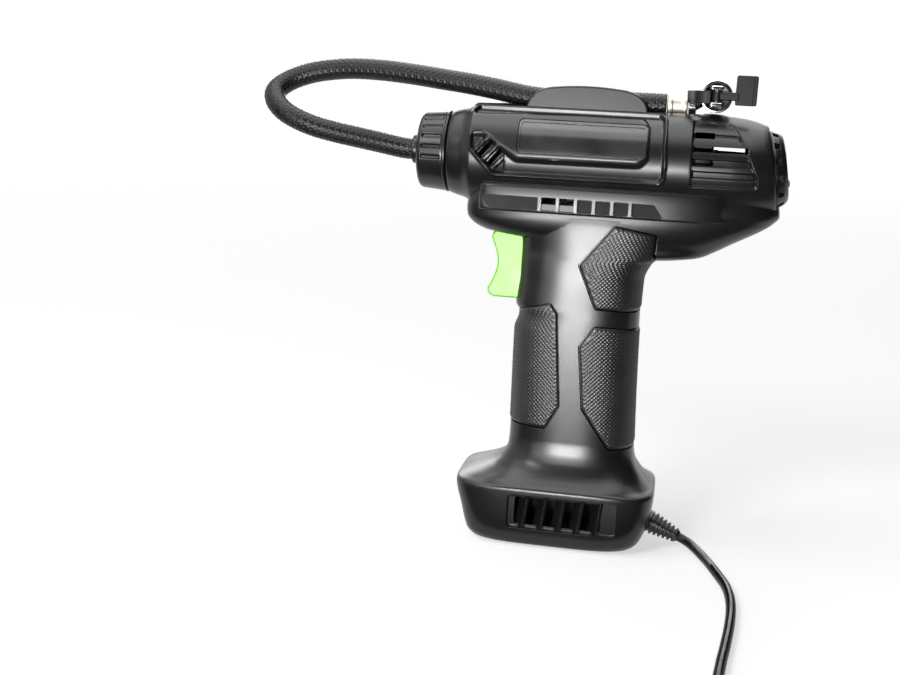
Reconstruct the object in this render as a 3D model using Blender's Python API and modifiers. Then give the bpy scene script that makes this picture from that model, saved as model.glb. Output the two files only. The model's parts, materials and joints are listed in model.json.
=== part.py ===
"""Portable tire inflator in the shape of a pistol, standing on its base. Metres, +Z up.

The nose points to -X, the rear cap to +X, and the side with the badge faces -Y.
The origin is the centre of the base's underside.
"""

import math

import bmesh
import bpy
from mathutils import Matrix, Vector

# Foot pad under the base
PAD_INSET = 0.0030
PAD_SHEET = 0.0012

# Fits
GAP = 0.0003
WALL = 0.0022
HANDLE_WALL = 0.0036
BASE_WALL = 0.0024

# Barrel
BARREL_Z = 0.1695
BARREL_R = 0.0220
BARREL_SIDES = 28
BORE_SIDES = 12
NOSE_X = -0.0605
NOSE_R = 0.0175
REAR_X = 0.0800
REAR_R = 0.0184
REAR_TILT = math.radians(10.0)

# Nose collar and hose gland
COLLAR_LENGTH = 0.0107
COLLAR_FRONT_R = 0.0166
GLAND_R = 0.0063
GLAND_STICK_OUT = 0.0038
GLAND_SOCKET = 0.0040
AIR_BORE_R = 0.0018

# Rear cap, gauge and buttons
CAP_R = 0.0166
CAP_RISE = 0.0056
CAP_SHEET = 0.0018
CAP_SKIRT = 0.0045
CAP_SLOTS = 6
WINDOW_SIZE = (0.0150, 0.0085)
WINDOW_UP = 0.0028
BUTTON_R = 0.0017
BUTTON_PITCH = 0.0055
BUTTON_DOWN = 0.0062
BUTTON_TRAVEL = 0.0008
BOARD_SHEET = 0.0016

# Hose, clip and chuck
HOSE_R = 0.00475
HOSE_LIFT = 0.0027
CLIP_FRONT_X = -0.0246
CLIP_BACK_X = 0.0264
CLIP_RISE = 0.0088
CLIP_HALF = 0.0074
FERRULE_LENGTH = 0.0086
FERRULE_SHEET = 0.0004
CHUCK_X = 0.0543
CHUCK_R = 0.0067
CHUCK_BACK = 0.0095
CHUCK_MOUTH = 0.0115
VALVE_BORE_R = 0.0042
VALVE_BORE_DEPTH = 0.0090
LEVER_HUB_R = 0.0020
LEVER_PIN_R = 0.0009
PADDLE_LENGTH = 0.0095
PADDLE_HEIGHT = 0.0122
PADDLE_SHEET = 0.0026

# Trigger
TRIGGER_HALF = 0.0080
TRIGGER_TOP = 0.1370
TRIGGER_FOOT = 0.1073
TRIGGER_BACK_X = -0.0200
TRIGGER_TRAVEL = 0.0050
STEM_R = 0.0024
STEM_Z = 0.1265
SWITCH_FRONT_X = -0.0100
SWITCH_SIZE = (0.0180, 0.0180, 0.0150)
SPRING_R = 0.0042
SPRING_WIRE_R = 0.0004
SPRING_TURNS = 4

# Motor and pump
MOTOR_R = 0.0139
MOTOR_LENGTH = 0.0380
MOTOR_BACK_X = 0.0570
MOTOR_RISE = 0.0020
SHAFT_R = 0.00115
TOOTH_MODULE = 0.0010
PINION_TEETH = 8
GEAR_TEETH = 24
GEAR_WIDTH = 0.0050
FRAME_SHEET = 0.0025
AXLE_R = 0.0017
CRANK_R = 0.0030
CRANK_PIN_R = 0.0015
ROD_LENGTH = 0.0120
ROD_SHEET = 0.0036
WRIST_PIN_R = 0.0012
CYLINDER_X = -0.0040
BORE_R = 0.0076
CYLINDER_WALL = 0.0019
PISTON_R = 0.0072
PISTON_HEIGHT = 0.0093
HEAD_HEIGHT = 0.0034
AIR_TUBE_R = 0.0024

# Power cord and its plug
CORD_R = 0.0020
COIL_PITCH = 0.0050
COIL_STEP_UP = 0.0048
COIL_LAYERS = 4
COIL_TURNS = 16.25
COIL_MIDDLE_R = 0.0240
COIL_X = 0.0335
COIL_Y = -0.2250
COIL_LOOP_POINTS = 12
TIE_SHEET = 0.0008
TIE_HALF = 0.0030
PLUG_R = 0.0106
PLUG_BOOT = 0.0100
PLUG_GRIP = 0.0340
PLUG_BARREL_R = 0.0094
PLUG_BARREL = 0.0240
PLUG_RING = 0.0080
PLUG_TIP_R = 0.0034
PLUG_TIP_TRAVEL = 0.0030
PLUG_CONTACT_TRAVEL = 0.0010
PLUG_X = -0.0120
PLUG_Y = -0.2680

# Screws
SCREW_HEAD_R = 0.0023
SCREW_SHANK_R = 0.0011
BOSS_R = 0.0034
SCREW_LENGTH = 0.0140
SCREW_HEAD_Y = 0.0080
SCREW_SPOTS = (
    (-0.0440, 0.1580),
    (0.0660, 0.1530),
    (-0.0040, 0.1120),
    (0.0000, 0.0470),
)

# Body sections up the handle: height, front, back, half width, squareness
HANDLE_SECTIONS = (
    (0.0003, -0.0360, 0.0330, 0.0235, 4.0),
    (0.0014, -0.0386, 0.0358, 0.0260, 4.2),
    (0.0140, -0.0428, 0.0414, 0.0280, 4.2),
    (0.0245, -0.0454, 0.0426, 0.0282, 4.2),
    (0.0275, -0.0446, 0.0406, 0.0279, 4.0),
    (0.0315, -0.0355, 0.0370, 0.0252, 3.5),
    (0.0375, -0.0256, 0.0330, 0.0208, 3.0),
    (0.0470, -0.0240, 0.0316, 0.0191, 2.7),
    (0.0940, -0.0245, 0.0300, 0.0188, 2.7),
    (0.1010, -0.0226, 0.0299, 0.0188, 2.8),
    (0.1060, -0.0248, 0.0298, 0.0188, 2.9),
    (0.1186, -0.0238, 0.0301, 0.0189, 2.9),
    (0.1267, -0.0238, 0.0333, 0.0189, 2.9),
    (0.1450, -0.0238, 0.0420, 0.0186, 2.9),
)
# Sections of the hull under the barrel: the same, with the squareness of each end
HULL_SECTIONS = (
    (0.1286, -0.0080, 0.0430, 0.0120, 3.0, 3.0),
    (0.1304, -0.0140, 0.0535, 0.0150, 3.0, 3.0),
    (0.1335, -0.0375, 0.0600, 0.0110, 3.0, 3.0),
    (0.1372, -0.0434, 0.0665, 0.0172, 3.6, 3.0),
    (0.1406, -0.0463, 0.0728, 0.0189, 4.5, 3.0),
    (0.1435, -0.0481, 0.0780, 0.0199, 5.0, 3.0),
    (0.1465, -0.0484, 0.0822, 0.0206, 5.0, 3.0),
    (0.1500, -0.0480, 0.0850, 0.0206, 5.0, 3.0),
    (0.1580, -0.0460, 0.0838, 0.0192, 5.0, 3.0),
)
# Ledge along each side of the hull: height, half width
LEDGE_SECTIONS = ((0.1464, 0.0212), (0.1472, 0.0222), (0.1534, 0.0224), (0.1576, 0.0206), (0.1584, 0.0180))
LEDGE_FRONT = -0.0486
LEDGE_BACK = 0.0680
SECTION_POINTS = 20
INNER_POINTS = 12

# Side outlines of the grips, as x and z, drawn past the handle's edges where the grip wraps round it
GRIP_OUTLINES = {
    "front_grip": ((-0.034, 0.1000), (-0.008, 0.1076), (-0.0050, 0.1035), (-0.0014, 0.0627), (-0.0071, 0.0524),
                   (-0.034, 0.0528)),
    "rear_upper_grip": ((0.0168, 0.1426), (0.0345, 0.1399), (0.0345, 0.1280), (0.046, 0.1220), (0.046, 0.1052),
                        (0.0113, 0.1068), (0.0031, 0.1252)),
    "rear_lower_grip": ((0.0115, 0.0990), (0.046, 0.0972), (0.046, 0.0452), (0.0212, 0.0451), (0.0086, 0.0626),
                        (0.0056, 0.0901)),
}
GRIP_PROUD = 0.0005
GRIP_DEPTH = 0.0016
GRIP_SEAM = 0.0006

# Side panel on the barrel, as x and height above the barrel's axis
PANEL_OUTLINE = ((-0.0455, 0.0090), (-0.0405, 0.0097), (-0.0335, 0.0200), (0.0330, 0.0200), (0.0365, 0.0170),
                 (0.0370, -0.0065), (0.0335, -0.0088), (-0.0345, -0.0085), (-0.0458, 0.0014))
PLATFORM_OUTLINE = ((-0.0405, 0.0097), (-0.0315, 0.0184), (0.0262, 0.0184), (0.0282, 0.0155), (0.0285, -0.0015),
                    (0.0245, -0.0034), (-0.0220, -0.0042), (-0.0250, -0.0026))
PANEL_DEPTH = 0.0009
BADGE_LOW = (-0.0262, 0.0020)
BADGE_HIGH = (0.0275, 0.0157)
BADGE_SHEET = 0.0007

# Vents
REAR_VENT_OUTLINE = ((0.0458, 0.0190), (0.0636, 0.0182), (0.0664, 0.0150), (0.0728, -0.0040), (0.0722, -0.0080),
                     (0.0463, -0.0080))
REAR_SLOT_ROWS = ((0.0128, 0.0570), (0.0074, 0.0680), (0.0020, 0.0570))
REAR_SLOT_HEIGHT = 0.0028
BASE_WINDOW_LOW = (-0.0203, 0.0088)
BASE_WINDOW_HIGH = (0.0278, 0.0240)
BASE_VANES = 5
LEDGE_BARS = 6
LEDGE_BAR_PITCH = 0.0076
LEDGE_BAR_FIRST = -0.0152

# Air hose, from the gland round to the ferrule, as points chosen along its middle
HOSE_ROUTE = (
    (-0.0712, 0.0000, 0.1695), (-0.0790, 0.0000, 0.1695), (-0.0906, -0.0020, 0.1715), (-0.1000, -0.0045, 0.1732),
    (-0.1092, -0.0068, 0.1749), (-0.1180, -0.0085, 0.1769), (-0.1262, -0.0090, 0.1797), (-0.1335, -0.0078, 0.1834),
    (-0.1384, -0.0042, 0.1880), (-0.1392, 0.0008, 0.1922), (-0.1345, 0.0058, 0.1966), (-0.1265, 0.0084, 0.2000),
    (-0.1170, 0.0090, 0.2020), (-0.1057, 0.0082, 0.2031), (-0.0920, 0.0066, 0.2029), (-0.0784, 0.0050, 0.2019),
    (-0.0648, 0.0034, 0.2004), (-0.0514, 0.0020, 0.1989), (-0.0385, 0.0008, 0.1970), (-0.0270, 0.0001, 0.1950),
    (-0.0170, 0.0000, 0.1942), (0.0050, 0.0000, 0.1942), (0.0340, 0.0000, 0.1942),
)
HOSE_POINTS = 36

# Power cord, from the strain relief to the coil, as points chosen along its middle
RELIEF_ROOT = (0.0339, 0.0007, 0.0124)
RELIEF_END = (0.0548, -0.0036, 0.0046)
RELIEF_ROOT_R = 0.0050
RELIEF_TIP_R = 0.0029
RELIEF_RIBS = 4
CORD_ROUTE = (
    (0.0559, -0.0039, 0.0042), (0.0582, -0.0049, 0.0035), (0.0608, -0.0080, 0.0028), (0.0640, -0.0150, 0.0023),
    (0.0676, -0.0250, 0.0021), (0.0712, -0.0380, 0.0021), (0.0744, -0.0510, 0.0021), (0.0758, -0.0640, 0.0021),
    (0.0757, -0.0780, 0.0021), (0.0745, -0.0940, 0.0021), (0.0725, -0.1120, 0.0021), (0.0704, -0.1290, 0.0021),
    (0.0690, -0.1460, 0.0022),
)
CORD_POINTS = 28

BLACK_PLASTIC = ("black_plastic", (0.012, 0.012, 0.013), 0.45, 0.0)
RUBBER = ("rubber", (0.016, 0.016, 0.017), 0.8, 0.0)
LIME_PLASTIC = ("lime_plastic", (0.17, 0.72, 0.01), 0.4, 0.0)
STEEL = ("steel", (0.55, 0.55, 0.56), 0.35, 1.0)
CHROME = ("chrome", (0.8, 0.8, 0.8), 0.1, 1.0)
ALUMINIUM = ("aluminium", (0.75, 0.73, 0.68), 0.35, 1.0)
BRASS = ("brass", (0.70, 0.50, 0.20), 0.35, 1.0)
WHITE_PLASTIC = ("white_plastic", (0.75, 0.75, 0.72), 0.5, 0.0)
BOARD_GREEN = ("board_green", (0.02, 0.15, 0.06), 0.5, 0.0)
GLASS_BLACK = ("glass_black", (0.01, 0.01, 0.012), 0.08, 0.0)
BADGE_GREY = ("badge_grey", (0.05, 0.05, 0.052), 0.3, 0.4)
BRAID = ("braid", (0.014, 0.014, 0.015), 0.6, 0.0)

for old in list(bpy.data.objects):
    bpy.data.objects.remove(old)
PARTS = bpy.data.collections.new("tire_inflator")
CUTTERS = bpy.data.collections.new("cutters")
bpy.context.scene.collection.children.link(PARTS)
bpy.context.scene.collection.children.link(CUTTERS)


def solid(name, bm, face_out=True):
    """A helper object from a bmesh, which is freed. Parts are made of these by finish."""
    if face_out:
        bmesh.ops.recalc_face_normals(bm, faces=bm.faces)
    mesh = bpy.data.meshes.new(name)
    bm.to_mesh(mesh)
    bm.free()
    obj = bpy.data.objects.new(name, mesh)
    obj.hide_render = True
    obj.display_type = "WIRE"
    CUTTERS.objects.link(obj)
    return obj


def evaluated_mesh(obj):
    graph = bpy.context.evaluated_depsgraph_get()
    return bpy.data.meshes.new_from_object(obj.evaluated_get(graph))


def combine(target, tools, operation):
    """Applies one Boolean after another to the target, and removes the tools."""
    for tool in tools:
        modifier = target.modifiers.new("combine", "BOOLEAN")
        modifier.operation = operation
        modifier.object = tool
        mesh = evaluated_mesh(target)
        target.modifiers.clear()
        target.data = mesh
        bpy.data.objects.remove(tool)
    return target


def cut(target, *tools):
    return combine(target, tools, "DIFFERENCE")


def join(target, *tools):
    return combine(target, tools, "UNION")


def common(target, *tools):
    return combine(target, tools, "INTERSECT")


def mirrored(obj, name):
    """A copy on the other side of the plane between the housing halves."""
    bm = bmesh.new()
    bm.from_mesh(obj.data)
    bmesh.ops.scale(bm, vec=(1, -1, 1), verts=bm.verts)
    bmesh.ops.reverse_faces(bm, faces=bm.faces)
    return solid(name, bm, face_out=False)


def finish(obj, name, look, origin=(0, 0, 0), smooth=40):
    """Turns a helper into a part: its name, material, origin and shading."""
    label, colour, roughness, metallic = look
    material = bpy.data.materials.get(label)
    if material is None:
        material = bpy.data.materials.new(label)
        material.use_nodes = True
        shader = material.node_tree.nodes["Principled BSDF"]
        shader.inputs["Base Color"].default_value = (*colour, 1)
        shader.inputs["Roughness"].default_value = roughness
        shader.inputs["Metallic"].default_value = metallic
    obj.name = name
    obj.data.name = name
    obj.data.materials.clear()
    obj.data.materials.append(material)
    obj.data.shade_smooth()
    obj.data.set_sharp_from_angle(angle=math.radians(smooth))
    obj.data.transform(Matrix.Translation(-Vector(origin)))
    obj.location = origin
    obj.hide_render = False
    obj.display_type = "TEXTURED"
    CUTTERS.objects.unlink(obj)
    PARTS.objects.link(obj)
    return obj


def loft(name, rings):
    """A closed skin over rings of equally many points."""
    bm = bmesh.new()
    loops = [[bm.verts.new(point) for point in ring] for ring in rings]
    for lower, upper in zip(loops, loops[1:]):
        for i in range(len(lower)):
            j = (i + 1) % len(lower)
            bm.faces.new((lower[i], lower[j], upper[j], upper[i]))
    bm.faces.new(loops[0][::-1])
    bm.faces.new(loops[-1])
    return solid(name, bm)


def rod(name, radius, start, end, sides=24, end_radius=None):
    """A cylinder or cone between two points."""
    start, end = Vector(start), Vector(end)
    along = end - start
    turn = Vector((0, 0, 1)).rotation_difference(along).to_matrix().to_4x4()
    bm = bmesh.new()
    bmesh.ops.create_cone(
        bm,
        cap_ends=True,
        segments=sides,
        radius1=radius,
        radius2=radius if end_radius is None else end_radius,
        depth=along.length,
        matrix=Matrix.Translation((start + end) / 2) @ turn,
    )
    return solid(name, bm)


def block(name, low, high, bevel=0.0, turn=None):
    """A box between two corners, with rounded edges, turned about its middle."""
    low, high = Vector(low), Vector(high)
    bm = bmesh.new()
    bmesh.ops.create_cube(bm, size=1)
    bmesh.ops.scale(bm, vec=high - low, verts=bm.verts)
    if bevel:
        bmesh.ops.bevel(bm, geom=bm.edges, offset=bevel, segments=1, affect="EDGES", profile=0.5)
    if turn is not None:
        bmesh.ops.transform(bm, matrix=turn, verts=bm.verts)
    bmesh.ops.translate(bm, vec=(low + high) / 2, verts=bm.verts)
    return solid(name, bm)


def rounded(outline, radius, steps=1):
    """The outline with its corners replaced by arcs, limited by the sides' lengths."""
    points = []
    count = len(outline)
    for i in range(count):
        corner = Vector(outline[i])
        before = Vector(outline[i - 1]) - corner
        after = Vector(outline[(i + 1) % count]) - corner
        half = before.angle(after) / 2
        reach = min(radius / math.tan(half), before.length * 0.45, after.length * 0.45)
        start = corner + before.normalized() * reach
        end = corner + after.normalized() * reach
        for step in range(steps + 1):
            t = step / steps
            points.append(start.lerp(corner, t).lerp(corner.lerp(end, t), t))
    return points


def oblong(low, high, radius, steps=1):
    """A rectangle's outline with round corners."""
    corners = (low, (high[0], low[1]), high, (low[0], high[1]))
    return rounded(corners, radius, steps)


def prism(name, outline, axis, low, high, bevel=0.0):
    """An outline pushed along X, Y or Z from low to high. The outline's two values are the other axes, in order."""
    bm = bmesh.new()
    place = {"X": lambda u, v: (low, u, v), "Y": lambda u, v: (u, low, v), "Z": lambda u, v: (u, v, low)}[axis]
    face = bm.faces.new([bm.verts.new(place(u, v)) for u, v in outline])
    pushed = bmesh.ops.extrude_face_region(bm, geom=[face])
    step = {"X": Vector((1, 0, 0)), "Y": Vector((0, 1, 0)), "Z": Vector((0, 0, 1))}[axis]
    top = [item for item in pushed["geom"] if isinstance(item, bmesh.types.BMVert)]
    bmesh.ops.translate(bm, vec=step * (high - low), verts=top)
    if bevel:
        ends = [f for f in bm.faces if abs(abs(f.normal.dot(step)) - 1) < 1e-4]
        edges = {edge for f in ends for edge in f.edges}
        bmesh.ops.bevel(bm, geom=list(edges), offset=bevel, segments=2, affect="EDGES", profile=0.5)
    return solid(name, bm)


def turned(name, profile, origin, axis, steps=32):
    """A profile of radius and height, from the top down its outer side, turned about an axis through the origin."""
    mesh = bpy.data.meshes.new(name)
    points = [(radius, 0, height) for radius, height in profile]
    edges = [(i, i + 1) for i in range(len(points) - 1)]
    if profile[0][0] > 0:
        edges.append((len(points) - 1, 0))
    mesh.from_pydata(points, edges, [])
    obj = bpy.data.objects.new(name, mesh)
    CUTTERS.objects.link(obj)
    screw = obj.modifiers.new("turn", "SCREW")
    screw.steps = steps
    screw.render_steps = steps
    screw.use_merge_vertices = True
    screw.merge_threshold = 1e-6
    bm = bmesh.new()
    bm.from_mesh(evaluated_mesh(obj))
    bpy.data.objects.remove(obj)
    bmesh.ops.remove_doubles(bm, verts=bm.verts, dist=1e-6)
    turn = Vector((0, 0, 1)).rotation_difference(Vector(axis)).to_matrix().to_4x4()
    bmesh.ops.transform(bm, matrix=Matrix.Translation(origin) @ turn, verts=bm.verts)
    return solid(name, bm)


def smooth_route(points, count):
    """Evenly spaced points on a smooth curve through the given ones."""
    points = [Vector(point) for point in points]
    ends = [points[0] * 2 - points[1], *points, points[-1] * 2 - points[-2]]
    dense = []
    for a, b, c, d in zip(ends, ends[1:], ends[2:], ends[3:]):
        for step in range(24):
            t = step / 24
            dense.append(
                0.5 * (2 * b + (c - a) * t + (2 * a - 5 * b + 4 * c - d) * t**2 + (3 * b - a - 3 * c + d) * t**3)
            )
    dense.append(points[-1])
    lengths = [0.0]
    for a, b in zip(dense, dense[1:]):
        lengths.append(lengths[-1] + (b - a).length)
    even = []
    at = 0
    for step in range(count):
        wanted = lengths[-1] * step / (count - 1)
        while at < len(dense) - 2 and lengths[at + 1] < wanted:
            at += 1
        share = (wanted - lengths[at]) / (lengths[at + 1] - lengths[at])
        even.append(dense[at].lerp(dense[at + 1], share))
    return even


def tube(name, points, radius, resolution):
    """A closed tube along points, as a helper mesh."""
    curve = bpy.data.curves.new(name, "CURVE")
    curve.dimensions = "3D"
    curve.bevel_depth = radius
    curve.bevel_resolution = resolution
    curve.use_fill_caps = True
    spline = curve.splines.new("POLY")
    spline.points.add(len(points) - 1)
    for spot, point in zip(spline.points, points):
        spot.co = (*point, 1)
    obj = bpy.data.objects.new(name, curve)
    CUTTERS.objects.link(obj)
    bm = bmesh.new()
    bm.from_mesh(evaluated_mesh(obj))
    bpy.data.objects.remove(obj)
    bmesh.ops.remove_doubles(bm, verts=bm.verts, dist=1e-6)
    return solid(name, bm)


def length_of(points):
    return sum((Vector(b) - Vector(a)).length for a, b in zip(points, points[1:]))


# Housing

def plan(front, back, half, front_power, back_power, count=SECTION_POINTS):
    """A rounded oblong seen from above, whose ends have their own squareness."""
    points = []
    for step in range(count):
        angle = 2 * math.pi * (step + 0.5) / count
        across, along = math.sin(angle), math.cos(angle)
        power = 2 / (back_power if along > 0 else front_power)
        x = (front + back) / 2 + (back - front) / 2 * math.copysign(abs(along) ** power, along)
        points.append((x, half * math.copysign(abs(across) ** power, across)))
    return points


def handle_solid(name, inset_of, count=SECTION_POINTS):
    """The handle and base, drawn in by the wall that inset_of gives for a height."""
    rings = []
    sections = HANDLE_SECTIONS if count == SECTION_POINTS else HANDLE_SECTIONS[::2] + HANDLE_SECTIONS[-1:]
    for z, front, back, half, power in sections:
        inset = inset_of(z)
        level = z + max(inset, 0) if z < BASE_WALL * 2 else z
        outline = plan(front + inset, back - inset, half - inset, power, power, count)
        rings.append([(x, y, level) for x, y in outline])
    return loft(name, rings)


def hull_solid(name, inset, count=SECTION_POINTS):
    rings = []
    sections = HULL_SECTIONS if count == SECTION_POINTS else HULL_SECTIONS[::2]
    for z, front, back, half, front_power, back_power in sections:
        outline = plan(front + inset, back - inset, half - inset, front_power, back_power, count)
        rings.append([(x, y, z + inset) for x, y in outline])
    return loft(name, rings)


def barrel_ring(x, radius, tilt, sides):
    points = []
    for step in range(sides):
        angle = 2 * math.pi * (step + 0.5) / sides
        rise = radius * math.cos(angle)
        points.append((x - math.tan(tilt) * rise, radius * math.sin(angle), BARREL_Z + rise))
    return points


def barrel_solid(name, inset, past_rear=0.0, sides=BARREL_SIDES):
    """The barrel, whose rear end leans forward at the top."""
    shoulder = BARREL_R - REAR_R
    stations = [
        (NOSE_X + inset, NOSE_R, 0.0),
        (NOSE_X + 0.0015, NOSE_R + 0.0005, 0.0),
        (NOSE_X + 0.0060, BARREL_R - 0.0012, 0.0),
        (NOSE_X + 0.0090, BARREL_R, 0.0),
        (REAR_X - 0.0350, BARREL_R, 0.0),
        (REAR_X - 0.0180, BARREL_R - 0.06 * shoulder, 0.4 * REAR_TILT),
        (REAR_X - 0.0100, BARREL_R - 0.20 * shoulder, 0.7 * REAR_TILT),
        (REAR_X - 0.0040, BARREL_R - 0.56 * shoulder, 0.9 * REAR_TILT),
        (REAR_X, REAR_R, REAR_TILT),
    ]
    if inset:
        del stations[1]
    if past_rear:
        stations.append((REAR_X + past_rear, REAR_R, REAR_TILT))
    return loft(name, [barrel_ring(x, radius - inset, tilt, sides) for x, radius, tilt in stations])


def ledge_solid(name):
    rings = []
    for z, half in LEDGE_SECTIONS:
        rings.append([(x, y, z) for x, y in plan(LEDGE_FRONT, LEDGE_BACK, half, 5.0, 2.6)])
    return loft(name, rings)


def wall_at(z):
    return BASE_WALL if z < 0.032 else HANDLE_WALL


def barrel_rod(name, radius):
    return rod(name, radius, (NOSE_X - 0.02, 0, BARREL_Z), (REAR_X + 0.02, 0, BARREL_Z), BARREL_SIDES)


def side_outline(outline):
    """An outline given above the barrel's axis, as x and z."""
    return [(x, BARREL_Z + rise) for x, rise in outline]


def panel_channel():
    """The shallow channel round the badge's platform, on the near side."""
    channel = prism("channel", rounded(side_outline(PANEL_OUTLINE), 0.0018), "Y", -0.03, -0.004)
    cut(channel, prism("platform", rounded(side_outline(PLATFORM_OUTLINE), 0.0016), "Y", -0.04, 0.0))
    return cut(channel, barrel_rod("floor", BARREL_R - PANEL_DEPTH))


def front_vents():
    """Two slanted slits through the barrel at the panel's front corner."""
    slits = []
    slant = Matrix.Rotation(math.radians(-45), 4, "Y")
    for x, rise in ((-0.0412, 0.0028), (-0.0380, -0.0006)):
        size = Vector((0.0042, 0.010, 0.0009))
        middle = Vector((x, -0.0195, BARREL_Z + rise))
        slits.append(block("slit", middle - size, middle + size, turn=slant))
    return slits


def rear_vents():
    """A sunk panel and three rows of slots behind the motor."""
    panel = prism("vent_panel", rounded(side_outline(REAR_VENT_OUTLINE), 0.0015), "Y", -0.03, -0.004)
    cut(panel, barrel_rod("floor", BARREL_R - PANEL_DEPTH))
    slots = [panel]
    for rise, end in REAR_SLOT_ROWS:
        low = (REAR_VENT_OUTLINE[0][0] + 0.0012, BARREL_Z + rise - REAR_SLOT_HEIGHT / 2)
        high = (end, BARREL_Z + rise + REAR_SLOT_HEIGHT / 2)
        slots.append(prism("slot", oblong(low, high, 0.0003, 1), "Y", -0.03, -0.008))
    return slots


def ledge_cells():
    """Recesses along the ledge, the two behind the first bar open to the inside."""
    low, high = LEDGE_SECTIONS[1][0] + 0.0006, LEDGE_SECTIONS[2][0] - 0.0006
    face = LEDGE_SECTIONS[2][1]
    bar = 0.00075
    edges = [LEDGE_BAR_FIRST + LEDGE_BAR_PITCH * i for i in range(LEDGE_BARS)]
    cells = [prism("cell", oblong((-0.0370, low), (edges[0] - bar, high), 0.0008, 1), "Y", -0.03, -face + 0.0006)]
    for i, (start, end) in enumerate(zip(edges, edges[1:])):
        depth = 0.0060 if i < 2 else 0.0011
        outline = oblong((start + bar, low), (end - bar, high), 0.0005, 1)
        cells.append(prism("cell", outline, "Y", -0.03, -face + depth))
    start = edges[-1] + bar
    tail = ((start, low), (start + 0.0125, low), (start + 0.0090, high), (start, high))
    cells.append(prism("cell", tail, "Y", -0.03, -face + 0.0011))
    return cells


def base_window():
    low, high = BASE_WINDOW_LOW, BASE_WINDOW_HIGH
    return prism("window", oblong(low, high, 0.0022), "Y", -0.04, -0.0240)


def base_vanes():
    """Slanted vanes that stand across the window, let into the wall above and below it."""
    vanes = []
    pitch = (BASE_WINDOW_HIGH[0] - BASE_WINDOW_LOW[0]) / (BASE_VANES + 1)
    slant = Matrix.Rotation(math.radians(38), 4, "Z") @ Matrix.Rotation(math.radians(8), 4, "Y")
    half = Vector((0.0007, 0.0033, (BASE_WINDOW_HIGH[1] - BASE_WINDOW_LOW[1]) / 2 + 0.0012))
    for i in range(BASE_VANES):
        x = BASE_WINDOW_LOW[0] + pitch * (i + 1)
        middle = Vector((x, -0.0252, (BASE_WINDOW_LOW[1] + BASE_WINDOW_HIGH[1]) / 2))
        vanes.append(block("vane", middle - half, middle + half, turn=slant))
    return vanes


def grip_prism(name, spread):
    """The side outline of a grip as a solid on the near side, grown by spread."""
    outline = [Vector(point) for point in GRIP_OUTLINES[name]]
    middle = sum(outline, Vector((0, 0))) / len(outline)
    grown = []
    for i, point in enumerate(outline):
        before = (point - outline[i - 1]).normalized()
        after = (outline[(i + 1) % len(outline)] - point).normalized()
        out_before, out_after = Vector((-before.y, before.x)), Vector((-after.y, after.x))
        if out_before.dot(point - middle) < 0:
            out_before, out_after = -out_before, -out_after
        bisector = (out_before + out_after).normalized()
        grown.append(point + bisector * spread / max(bisector.dot(out_after), 0.3))
    return prism(name, rounded(grown, 0.0016), "Y", -0.04, -GRIP_SEAM + spread)


def grip_pockets():
    pockets = []
    for name in GRIP_OUTLINES:
        pocket = grip_prism(name, GAP)
        pockets.append(cut(pocket, handle_solid("floor", lambda z: GRIP_DEPTH + GAP)))
    return pockets


def make_grips():
    for name in GRIP_OUTLINES:
        grip = grip_prism(name, 0.0)
        common(grip, handle_solid("skin", lambda z: -GRIP_PROUD))
        cut(grip, handle_solid("core", lambda z: GRIP_DEPTH))
        finish(mirrored(grip, name), "right_" + name, RUBBER)
        finish(grip, "left_" + name, RUBBER)


def motor_ribs():
    """A wall across the barrel that cradles the motor."""
    x = MOTOR_BACK_X - MOTOR_LENGTH + 0.009
    return [rod("rib", BARREL_R - WALL / 2, (x - 0.001, 0, BARREL_Z), (x + 0.001, 0, BARREL_Z), BORE_SIDES)]


def screw_bosses():
    return [rod("boss", BOSS_R, (x, -0.05, z), (x, 0.0, z), 8) for x, z in SCREW_SPOTS]


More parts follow.
